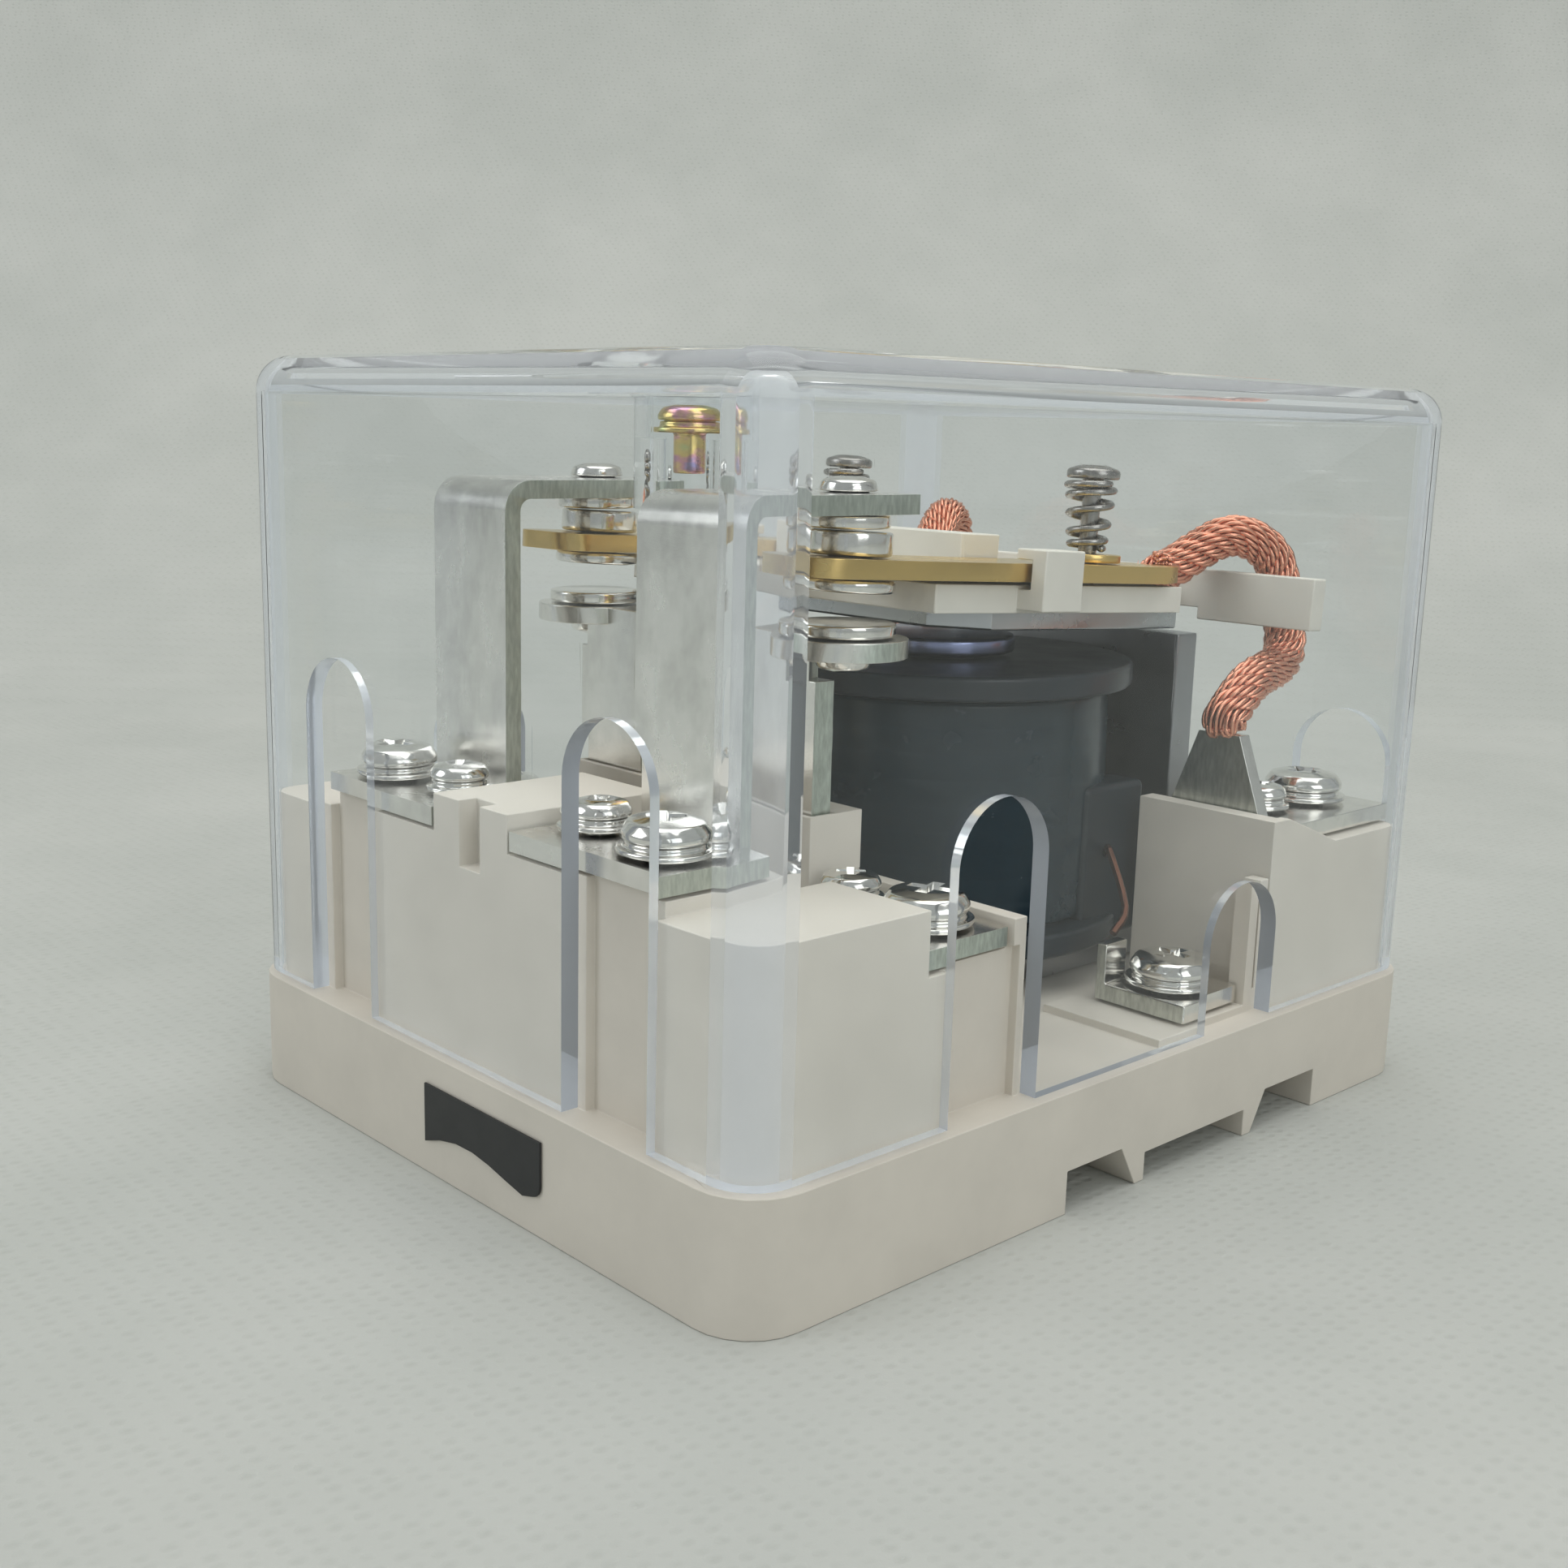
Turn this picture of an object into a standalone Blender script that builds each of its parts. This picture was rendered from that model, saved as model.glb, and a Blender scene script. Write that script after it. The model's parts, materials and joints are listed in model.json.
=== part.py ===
"""Two-pole power relay under a clear dust cover, for a 35 mm rail.

X runs across the relay, +Y towards the back, +Z up; the origin is the centre of the base's
underside. The armature and all that rides on it are modelled pulled in, flat on the core, and are
parented to the armature_hinge empty, which tilts them to the released rest position.
"""

import math

import bmesh
import bpy
from mathutils import Matrix, Vector

MM = 0.001

# Overall sizes
WIDTH = 68 * MM
DEPTH = 86 * MM
HEIGHT = 64 * MM
PLINTH_HEIGHT = 10 * MM
PLINTH_CORNER = 5 * MM

# Clearances
FIT = 0.3 * MM  # between a moulding and what sits in or on it
SEAT = 0.12 * MM  # between metal faces that are screwed or riveted together
HOLE_PLAY = 0.2 * MM  # round a screw or a rivet
PROUD = 1 * MM  # how far a cutter runs past the face that it opens

# Clear cover
COVER_INSET = 0.6 * MM
COVER_LIFT = 0.25 * MM  # its foot stands this far above the plinth
COVER_WALL = 1.5 * MM
COVER_TOP = 1.8 * MM
COVER_CORNER = 4 * MM
COVER_FILLET = 3 * MM
SLOT_WIDTH = 9.8 * MM
FRONT_SLOT_X = 18.2 * MM
FRONT_SLOT_TOP = 39.7 * MM
SIDE_SLOT_Y = -18.3 * MM
SIDE_SLOT_TOP = 34 * MM
COIL_SLOT_Y = 13.6 * MM
COIL_SLOT_TOP = 22.7 * MM
REAR_SLOT_SHIFT = 0.2 * MM  # outwards of the back terminal's middle
REAR_SLOT_TOP = 34 * MM
BOSS_RADIUS = 4.5 * MM
BOSS_COUNTERBORE = 3.4 * MM
BOSS_SEAT_DEPTH = 6 * MM
BOSS_DEPTH = 11.6 * MM  # below the cover's top
COVER_SCREW_SHANK = 1.65 * MM
COVER_SCREW_HEAD = 2.6 * MM
COVER_SCREW_REACH = 8 * MM  # into the standoff
POST_RADIUS = 2.6 * MM  # across the flats of its hexagon, halved
POST_SETBACK = 2 * MM  # in front of the contacts
POST_BOSS_RADIUS = 4.2 * MM
POST_BOSS_DROP = 4 * MM  # below the front terminals' seat

# Rail recess in the underside, along X
RAIL_RECESS_START = 33.4 * MM  # from the front face
RAIL_RECESS_WIDTH = 35.5 * MM
RAIL_RECESS_HEIGHT = 3.5 * MM
RAIL_TOOTH_INSET = 6.9 * MM
RAIL_TOOTH_SLANT = 2 * MM
RAIL_TOOTH_LAND = 1.2 * MM
RAIL_WEB_HEIGHT = 2.4 * MM

# Metal bars of the terminals
BAR = 1.5 * MM
NO_BAR = 2 * MM
BEND = 1 * MM
PLATE_SETBACK = 0.4 * MM  # behind the face of the moulding that carries it

# Front (normally closed) terminals
FRONT_SEAT_Z = 27.6 * MM
FRONT_RIM_Z = 26.5 * MM
FRONT_BLOCK_Z = 30.6 * MM
FRONT_BLOCK_HALF = 5 * MM
FRONT_BLOCK_LENGTH = 13.6 * MM
FRONT_PLATE_WIDTH = 17.2 * MM
FRONT_PLATE_DEPTH = 10.6 * MM
FRONT_STRIP_WIDTH = 10.5 * MM
FRONT_STRIP_X = 8.5 * MM
NC_ARM_DROP = 9.6 * MM  # from the top of the cover to the top of the fixed arm
NC_ARM_OVERHANG = 3.7 * MM  # past the contact's centre
WIRE_GROOVE_WIDTH = 8.8 * MM
WIRE_GROOVE_DEPTH = 0.8 * MM
NOTCH_WIDTH = 2.8 * MM
NOTCH_DEPTH = 1.6 * MM
NOTCH_HEIGHT = 5.2 * MM

# Side (normally open) terminals
SIDE_SEAT_Z = 21.6 * MM
SIDE_PLATE_START = 16.3 * MM  # behind the front upstand
SIDE_PLATE_WIDTH = 9.4 * MM
SIDE_WALL = 1.4 * MM
SIDE_WALL_Z = 24 * MM
SIDE_WALL_LENGTH = 17.6 * MM
NO_BAR_WIDTH = 7.6 * MM
NO_BAR_X = 6.6 * MM
NO_BAR_INSET = 4.7 * MM  # behind the plate's front edge
NO_POST_Z = 29.5 * MM
NO_POST_DEPTH = 5.7 * MM
NO_POST_WALL = 0.8 * MM
NO_TONGUE_RIM = 1 * MM  # round the contact

# Back (common) terminals
REAR_BLOCK_X = 17.6 * MM
REAR_PLATE_INSET = 0.7 * MM
REAR_BLOCK_LENGTH = 21.9 * MM
REAR_SEAT_Z = 24 * MM
REAR_CREST_Z = 27 * MM
REAR_RIM = 1 * MM
REAR_FRONT_RIM = 1.9 * MM
REAR_CREST_LENGTH = 2.4 * MM
REAR_SLOPE_LENGTH = 8 * MM
LUG_HEIGHT = 9.2 * MM
LUG_TOP_WIDTH = 4.2 * MM
LUG_FOOT_WIDTH = 9.6 * MM

# Coil terminals
COIL_SEAT_Z = 10.7 * MM
COIL_PLATE_WIDTH = 9.2 * MM
COIL_PLATE_DEPTH = 9 * MM
COIL_LEDGE = 12 * MM
COIL_SCREW_INSET = 5.2 * MM
COIL_RIB_WALL = 1.2 * MM
COIL_RIB_DEPTH = 1.6 * MM
COIL_TAG = 5 * MM

# Magnet
COIL_Y = 10 * MM
COIL_RADIUS = 18 * MM
WINDING_DEPTH = 1.8 * MM  # below the flanges' rims
SPOOL_RADIUS = 8 * MM
CORE_RADIUS = 5.5 * MM
CORE_SHANK = 4.5 * MM
CORE_POLE = 1.6 * MM
FLANGE = 2.2 * MM
LEAD_BLOCK_INSET = 3.6 * MM  # how far the leads' blocks reach into the winding
LEAD_BLOCK_START = 3 * MM  # behind the coil's middle
LEAD_BLOCK_DEPTH = 8 * MM
LEAD_BLOCK_HEIGHT = 14 * MM
LEAD_RADIUS = 0.35 * MM
YOKE_WIDTH = 28 * MM
YOKE_PLATE = 3 * MM
YOKE_TOE = 5.4 * MM
YOKE_SCREW_X = 6 * MM
YOKE_SCREW_GAP = 3.1 * MM  # in front of the coil
YOKE_SCREW_LENGTH = 5.6 * MM
YOKE_TAB = 1.5 * MM
YOKE_TAB_RISE = 6 * MM
ARMATURE_WIDTH = 24 * MM
ARMATURE_PLATE = 2 * MM
ARMATURE_LENGTH = 31.4 * MM
ARMATURE_NOSE = 4 * MM
RETURN_SPRING_RADIUS = 1.9 * MM
RETURN_SPRING_WIRE = 0.4 * MM
RETURN_SPRING_TURNS = 8
RETURN_SPRING_SETBACK = 4 * MM  # behind the yoke
SPRING_TAB_HALF = 3 * MM
SPRING_TAB_REST = 2 * MM  # behind the spring's eye
SPRING_EYE = 1 * MM

# Contacts
POLE_X = 15 * MM
CONTACT_SETBACK = 12.5 * MM  # behind the front strip
CONTACT_GAP = 2.25 * MM
NC_CONTACT_RADIUS = 3.3 * MM
NO_CONTACT_RADIUS = 4 * MM
FIXED_HEAD = 1 * MM
LOWER_HEAD = 1 * MM
UPPER_HEAD = 1.9 * MM
NECK_RADIUS = 1.5 * MM
CLENCH_RADIUS = 2.3 * MM
CLENCH_HEIGHT = 1.1 * MM
MOVING_OVERLAP = 0.4 * MM  # how much the moving contact's lower face is broader
ARM_WIDTH = 8.4 * MM
ARM_FRONT = 6.5 * MM  # past the contact's centre
ARM_END = 7.8 * MM  # in front of the hinge
ARM_NOSE = 2.6 * MM
ARM_TAIL = 4 * MM
BRAID_RADIUS = 2 * MM

# Carrier on the armature
CARRIER_PLATE = 2.3 * MM
CARRIER_FRONT = 6.5 * MM  # behind the contacts
CARRIER_RIB = 3.8 * MM
CLIP_Y = -1.2 * MM
CLIP_WIDTH = 5 * MM
CLIP_WALL = 1.5 * MM
CLIP_LIP = 1.6 * MM
CLIP_LIP_HEIGHT = 0.9 * MM
GUARD_HALF_WIDTH = 27 * MM
GUARD_DEPTH = 2 * MM
GUARD_HEIGHT = 3.8 * MM
GUARD_SKIRT = 0.9 * MM  # below the carrier's plate
GUARD_LEAD = 0.4 * MM  # in front of the hinge
BRIDGE_X = 6.5 * MM
BRIDGE_SETBACK = 12.8 * MM  # in front of the hinge
PRESS_SPRING_Y = 11.5 * MM
PRESS_SPRING_HEIGHT = 5.6 * MM
PRESS_SPRING_WIRE = 0.32 * MM
PRESS_SPRING_FOOT = 1.4 * MM
PRESS_SPRING_CROWN = 2.1 * MM
PRESS_SPRING_TURNS = 5
PIN_SHANK = 0.8 * MM
PIN_HEAD = 2.4 * MM
WASHER_RADIUS = 3.1 * MM
WASHER = 0.7 * MM

# Rating label on the plinth's front
LABEL_START = -3.9 * MM
LABEL_END = 11.8 * MM
LABEL_TOP = 7.6 * MM
LABEL_FOOT = 2.7 * MM
LABEL_FILM = 0.2 * MM
LABEL_GLUE = 0.05 * MM

# Levels that follow from the sizes above, from the cover's top down
COVER_Z0 = PLINTH_HEIGHT + COVER_LIFT
NC_ARM_Z = HEIGHT - NC_ARM_DROP - BAR
NC_FACE_Z = NC_ARM_Z - SEAT - FIXED_HEAD
BARREL = UPPER_HEAD + BAR + LOWER_HEAD + 2 * SEAT
NO_FACE_Z = NC_FACE_Z - FIT - BARREL - CONTACT_GAP
NO_PLATE_Z = NO_FACE_Z - FIXED_HEAD - SEAT - BAR
ARM_Z = NO_FACE_Z + SEAT + LOWER_HEAD + SEAT
CARRIER_Z = ARM_Z - FIT - CARRIER_PLATE
ARMATURE_Z = CARRIER_Z - SEAT - ARMATURE_PLATE
POLE_FACE_Z = ARMATURE_Z - FIT
UPSTAND_X = WIDTH / 2 - COVER_INSET - COVER_WALL - FIT
UPSTAND_Y = DEPTH / 2 - COVER_INSET - COVER_WALL - FIT
YOKE_BACK_Y = COIL_Y + COIL_RADIUS + FIT + YOKE_PLATE
YOKE_Z0 = PLINTH_HEIGHT + FIT
SPOOL_Z0 = YOKE_Z0 + YOKE_PLATE + FIT
SPOOL_Z1 = POLE_FACE_Z - CORE_POLE - FIT
STRIP_Y = -UPSTAND_Y + FRONT_PLATE_DEPTH
CONTACT_Y = STRIP_Y + CONTACT_SETBACK
HINGE = Vector((0, YOKE_BACK_Y - YOKE_PLATE / 2, POLE_FACE_Z))
OPEN_ANGLE = math.atan2(CONTACT_GAP, HINGE.y - CONTACT_Y)
ARM_REAR_Y = HINGE.y - ARM_END
BRIDGE_Y = HINGE.y - BRIDGE_SETBACK
SIDE_PLATE_Y0 = -UPSTAND_Y + SIDE_PLATE_START
SIDE_PLATE_Y1 = SIDE_PLATE_Y0 + SIDE_PLATE_WIDTH
NO_BAR_Y = SIDE_PLATE_Y0 + NO_BAR_INSET
REAR_BLOCK_Y = UPSTAND_Y - REAR_BLOCK_LENGTH
REAR_PLATE_X0 = REAR_BLOCK_X + REAR_PLATE_INSET
REAR_PLATE_X1 = UPSTAND_X - REAR_RIM - FIT
REAR_PLATE_Y = REAR_BLOCK_Y + REAR_FRONT_RIM + FIT
REAR_MIDDLE_X = (REAR_PLATE_X0 + REAR_PLATE_X1) / 2
REAR_SLOT_X = REAR_MIDDLE_X + REAR_SLOT_SHIFT
REAR_LUG_X = REAR_MIDDLE_X - FIT
NO_TONGUE_RADIUS = NO_CONTACT_RADIUS + NO_TONGUE_RIM
POST_Y = CONTACT_Y - POST_SETBACK
POST_Z0 = FRONT_SEAT_Z - POST_BOSS_DROP
BOSS_Z = HEIGHT - BOSS_DEPTH
SCREW_SEAT_Z = HEIGHT - BOSS_SEAT_DEPTH
YOKE_SCREW_Y = COIL_Y - COIL_RADIUS - YOKE_SCREW_GAP
RETURN_SPRING_Y = YOKE_BACK_Y + RETURN_SPRING_SETBACK
SPRING_TAB_Y = RETURN_SPRING_Y + SPRING_TAB_REST
WINDING_RADIUS = COIL_RADIUS - WINDING_DEPTH
LEAD_BLOCK_X = WINDING_RADIUS - LEAD_BLOCK_INSET
LEAD_BLOCK_END = COIL_RADIUS - 2 * MM
LEAD_BLOCK_Y = COIL_Y + LEAD_BLOCK_START

# Where the screws stand, on the right side, and their sizes
SCREWS = {
    "nc": {"clamp": (17.8 * MM, -UPSTAND_Y + 4.3 * MM), "fixing": (8.9 * MM, -UPSTAND_Y + 4.9 * MM)},
    "no": {"clamp": (UPSTAND_X - 5 * MM, SIDE_PLATE_Y0 + 5 * MM), "fixing": (18.4 * MM, SIDE_PLATE_Y0 + 5 * MM)},
    "com": {"clamp": (REAR_MIDDLE_X, UPSTAND_Y - 5.4 * MM), "fixing": (REAR_MIDDLE_X, UPSTAND_Y - 12.8 * MM)},
    "coil": {"clamp": (UPSTAND_X - COIL_SCREW_INSET, COIL_SLOT_Y - 1.2 * MM)},
}
SEAT_TOPS = {
    "nc": FRONT_SEAT_Z + FIT + BAR,
    "no": SIDE_SEAT_Z + FIT + BAR,
    "com": REAR_SEAT_Z + FIT + BAR,
    "coil": COIL_SEAT_Z + FIT + BAR,
}
CLAMP = {"shank": 1.9 * MM, "head": 3.5 * MM, "height": 2.2 * MM, "washer": 3.9 * MM, "length": 6 * MM}
FIXING = {"shank": 1.3 * MM, "head": 2.4 * MM, "height": 1.8 * MM, "washer": 2.7 * MM, "length": 5 * MM}
COIL_CLAMP = {**CLAMP, "length": 4.6 * MM}
YOKE_SCREW = {**FIXING, "length": YOKE_SCREW_LENGTH}
BRIDGE = {**FIXING, "height": 1.5 * MM, "length": 4 * MM}


def material(name, color, roughness, metallic=0.0, transmission=0.0):
    made = bpy.data.materials.new(name)
    made.use_nodes = True
    shader = made.node_tree.nodes["Principled BSDF"]
    shader.inputs["Base Color"].default_value = (*color, 1)
    shader.inputs["Roughness"].default_value = roughness
    shader.inputs["Metallic"].default_value = metallic
    shader.inputs["Transmission Weight"].default_value = transmission
    return made


def new_object(name, bm):
    bmesh.ops.recalc_face_normals(bm, faces=bm.faces)
    mesh = bpy.data.meshes.new(name)
    bm.to_mesh(mesh)
    bm.free()
    obj = bpy.data.objects.new(name, mesh)
    bpy.context.scene.collection.objects.link(obj)
    return obj


def box(name, low, high):
    bm = bmesh.new()
    bmesh.ops.create_cube(bm, size=1)
    size = Vector(high) - Vector(low)
    middle = (Vector(high) + Vector(low)) / 2
    place = Matrix.Translation(middle) @ Matrix.Diagonal((*size, 1))
    bmesh.ops.transform(bm, matrix=place, verts=bm.verts)
    return new_object(name, bm)


def prism(name, outline, start, end, axis="Z"):
    """A closed outline of (first, second) points drawn out along the axis from start to end."""
    place = {
        "X": lambda a, b, t: (t, a, b),
        "Y": lambda a, b, t: (a, t, b),
        "Z": lambda a, b, t: (a, b, t),
    }[axis]
    bm = bmesh.new()
    face = bm.faces.new([bm.verts.new(place(a, b, start)) for a, b in outline])
    grown = bmesh.ops.extrude_face_region(bm, geom=[face])
    moved = [item for item in grown["geom"] if isinstance(item, bmesh.types.BMVert)]
    bmesh.ops.translate(bm, vec=Vector(place(0, 0, end - start)), verts=moved)
    return new_object(name, bm)


def arc(center, radius, start, end, steps):
    """Points on an arc from start to end, in degrees, both ends included."""
    angles = [math.radians(start + (end - start) * i / steps) for i in range(steps + 1)]
    return [(center[0] + radius * math.cos(a), center[1] + radius * math.sin(a)) for a in angles]


def rounded_outline(half_x, half_y, radius, steps=6):
    points = []
    for sign_x, sign_y, start in ((1, 1, 0), (-1, 1, 90), (-1, -1, 180), (1, -1, 270)):
        center = (sign_x * (half_x - radius), sign_y * (half_y - radius))
        points += arc(center, radius, start, start + 90, steps)
    return points


def domed(name, size, fillet, z0, z1):
    """A rounded block (half width, half depth, corner radius) whose top edge is filleted."""
    half_x, half_y, corner = size
    rings = [(0, z0)]
    for step in range(5):
        angle = math.radians(90 * step / 4)
        rings.append((fillet * (1 - math.cos(angle)), z1 - fillet * (1 - math.sin(angle))))
    bm = bmesh.new()
    loops = []
    for inset, z in rings:
        outline = rounded_outline(half_x - inset, half_y - inset, corner - inset, 6)
        loops.append([bm.verts.new((x, y, z)) for x, y in outline])
    count = len(loops[0])
    for low, high in zip(loops, loops[1:]):
        for i in range(count):
            bm.faces.new((low[i], low[(i + 1) % count], high[(i + 1) % count], high[i]))
    bm.faces.new(reversed(loops[0]))
    bm.faces.new(loops[-1])
    return new_object(name, bm)


def turned(name, profile, center=(0, 0, 0), segments=32):
    """A profile of (radius, height) points from axis to axis, turned about Z through the center."""
    bm = bmesh.new()
    verts = [bm.verts.new((radius, 0, height)) for radius, height in profile]
    edges = [bm.edges.new(pair) for pair in zip(verts, verts[1:])]
    bmesh.ops.spin(
        bm, geom=verts + edges, axis=(0, 0, 1), cent=(0, 0, 0), steps=segments, angle=math.tau, use_merge=True
    )
    bmesh.ops.remove_doubles(bm, verts=bm.verts, dist=0.00001)
    bmesh.ops.translate(bm, vec=Vector(center), verts=bm.verts)
    return new_object(name, bm)


def rod(name, radius, z0, z1, center, segments=16):
    return turned(name, [(0, z0), (radius, z0), (radius, z1), (0, z1)], (center[0], center[1], 0), segments)


def combine(target, tools, operation):
    """Joins the tools to the target, or cuts them from it, and removes them."""
    for tool in tools:
        step = target.modifiers.new(operation, "BOOLEAN")
        step.operation = operation
        step.object = tool
        step.solver = "EXACT"
        graph = bpy.context.evaluated_depsgraph_get()
        target.data = bpy.data.meshes.new_from_object(target.evaluated_get(graph))
        target.modifiers.clear()
        bpy.data.objects.remove(tool)
    return target


def join(target, *tools):
    return combine(target, tools, "UNION")


def cut(target, *tools):
    return combine(target, tools, "DIFFERENCE")


def bevel(obj, width, segments=2, angle=40):
    step = obj.modifiers.new("edges", "BEVEL")
    step.width = width
    step.segments = segments
    step.limit_method = "ANGLE"
    step.angle_limit = math.radians(angle)
    step.use_clamp_overlap = True
    return obj


def finish(obj, look, smooth=True):
    obj.data.materials.clear()
    obj.data.materials.append(look)
    if smooth:
        obj.data.shade_smooth()
        obj.data.set_sharp_from_angle(angle=math.radians(35))
    return obj


def mirrored(obj, name):
    """The same piece on the other side of the relay."""
    graph = bpy.context.evaluated_depsgraph_get()
    mesh = bpy.data.meshes.new_from_object(obj.evaluated_get(graph))
    mesh.transform(Matrix.Diagonal((-1, 1, 1, 1)) @ obj.matrix_world)
    mesh.flip_normals()
    mesh.name = name
    twin = bpy.data.objects.new(name, mesh)
    bpy.context.scene.collection.objects.link(twin)
    return twin


def slot_outline(center, top, radius, bottom):
    """An arched slot, open at its foot."""
    crown = arc((center, top - radius), radius, 0, 180, 12)
    return [(center + radius, bottom), *crown, (center - radius, bottom)]


def block(side, x0, x1, y0, y1, z0, z1):
    """A box on the right side, or its mirror image on the left."""
    low_x, high_x = sorted((side * x0, side * x1))
    return box("block", (low_x, y0, z0), (high_x, y1, z1))


def screw_size(terminal, role):
    if terminal == "coil":
        return COIL_CLAMP
    return CLAMP if role == "clamp" else FIXING


def terminal_holes(side, terminal, play):
    """Cutters for the holes under one terminal's screws."""
    top = SEAT_TOPS[terminal]
    holes = []
    for role, (x, y) in SCREWS[terminal].items():
        size = screw_size(terminal, role)
        depth = size["length"] + FIT
        holes.append(rod("hole", size["shank"] + play, top - depth, top + PROUD, (side * x, y), 12))
    return holes


def pan_screw(name, size, place, look):
    """A pan-head screw with its washer under the head and a cross recess; place is on the plate's face."""
    x, y, seat = place
    head = size["head"]
    washer_top = SEAT + 0.55 * MM
    top = washer_top + size["height"]
    profile = [(0, -size["length"]), (size["shank"], -size["length"]), (size["shank"], SEAT)]
    profile += [(size["washer"], SEAT), (size["washer"], washer_top), (head, washer_top)]
    profile += [(head, washer_top + 0.4 * size["height"]), (0.78 * head, washer_top + 0.85 * size["height"])]
    profile += [(0.4 * head, top), (0, top)]
    screw = turned(name, profile, (x, y, seat), 16)
    recess = 0.52 * head
    blade = 0.13 * head
    deep = seat + top - 0.62 * size["height"]
    high = seat + top + PROUD
    one = box("blade", (x - recess, y - blade, deep), (x + recess, y + blade, high))
    two = box("blade", (x - blade, y - recess, deep), (x + blade, y + recess, high))
    cut(screw, join(one, two))
    return finish(screw, look)


def make_base(look):
    base = prism("base_moulding", rounded_outline(WIDTH / 2, DEPTH / 2, PLINTH_CORNER), 0, PLINTH_HEIGHT)
    front = -UPSTAND_Y
    sink = PLINTH_HEIGHT - PROUD
    fuller = [block(1, -UPSTAND_X, UPSTAND_X, front, STRIP_Y + BAR, sink, FRONT_RIM_Z)]
    fuller.append(
        block(1, -FRONT_BLOCK_HALF, FRONT_BLOCK_HALF, front, front + FRONT_BLOCK_LENGTH, sink, FRONT_BLOCK_Z)
    )
    plate_x = FRONT_BLOCK_HALF + FIT + FRONT_PLATE_WIDTH
    side_y0 = SIDE_PLATE_Y0 - FIT
    side_y1 = SIDE_PLATE_Y1 + FIT
    wall_x = UPSTAND_X - SIDE_WALL_LENGTH
    post_x0 = NO_BAR_X - 1.2 * MM
    post_x1 = NO_BAR_X + NO_BAR_WIDTH + 0.7 * MM
    post_y0 = NO_BAR_Y - NO_POST_WALL
    for side in (1, -1):
        fuller += [
            block(side, 0, plate_x, front, STRIP_Y + BAR, sink, FRONT_SEAT_Z),
            block(side, plate_x - PROUD, UPSTAND_X, front, side_y0, sink, FRONT_RIM_Z),
            block(side, post_x0, UPSTAND_X, side_y0 - PROUD, side_y1, sink, SIDE_SEAT_Z),
            block(side, wall_x, UPSTAND_X, side_y1, side_y1 + SIDE_WALL, sink, SIDE_WALL_Z),
            block(side, post_x0, post_x1, post_y0, post_y0 + NO_POST_DEPTH, sink, NO_POST_Z),
            rear_block(side, sink),
            coil_ledge(side, sink),
        ]
    fuller.append(rod("boss", POST_BOSS_RADIUS, sink, POST_Z0, (0, POST_Y)))
    join(base, *fuller)
    cut(base, rail_recess(), front_notch(), *corner_rounds())
    for side in (1, -1):
        cutters = [cutter for terminal in SCREWS for cutter in terminal_holes(side, terminal, HOLE_PLAY)]
        cutters += wire_grooves(side)
        # the slot for the upright bar, and the way in under the post for its plate
        cutters.append(
            block(
                side, NO_BAR_X - FIT, NO_BAR_X + NO_BAR_WIDTH + FIT,
                NO_BAR_Y - FIT, NO_BAR_Y + NO_BAR + FIT, SIDE_SEAT_Z, NO_POST_Z + PROUD,
            )
        )
        cutters.append(
            block(
                side, NO_BAR_X - FIT, post_x1 + PROUD,
                side_y0, NO_BAR_Y + NO_BAR + FIT, SIDE_SEAT_Z, SIDE_SEAT_Z + BAR + 2 * FIT,
            )
        )
        cutters += yoke_screw_holes(side)
        cut(base, *cutters)
    return finish(base, look)


def rear_block(side, sink):
    """The back terminal's block: a crest at its front, a slope, and a low rim round the seat."""
    y0 = REAR_BLOCK_Y
    crest = y0 + REAR_CREST_LENGTH
    foot = crest + REAR_SLOPE_LENGTH
    profile = [
        (y0, sink), (UPSTAND_Y, sink), (UPSTAND_Y, REAR_SEAT_Z), (foot, REAR_SEAT_Z),
        (crest, REAR_CREST_Z), (y0, REAR_CREST_Z),
    ]
    x0, x1 = sorted((side * REAR_BLOCK_X, side * UPSTAND_X))
    made = prism("rear_block", profile, x0, x1, "X")
    inner_x = UPSTAND_X - REAR_RIM
    pocket = block(side, 0, inner_x, y0 + REAR_FRONT_RIM, DEPTH, REAR_SEAT_Z, HEIGHT)
    return cut(made, pocket)


def coil_ledge(side, sink):
    """The low seat of the coil terminal, with the rib that keeps its wire off the rear block."""
    rear = REAR_BLOCK_Y + PROUD
    seat = block(side, UPSTAND_X - COIL_LEDGE, UPSTAND_X, COIL_SLOT_Y - SLOT_WIDTH, rear, sink, COIL_SEAT_Z)
    rib_x = UPSTAND_X - COIL_RIB_DEPTH
    rib_y = COIL_SLOT_Y + WIRE_GROOVE_WIDTH / 2 - 0.8 * MM
    rib = block(side, rib_x, UPSTAND_X, rib_y, rib_y + COIL_RIB_WALL, sink, COIL_SLOT_TOP - 2 * FIT)
    web = block(side, rib_x, UPSTAND_X, rib_y, rear, sink, PLINTH_HEIGHT + 2 * MM)
    return join(seat, rib, web)


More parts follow.
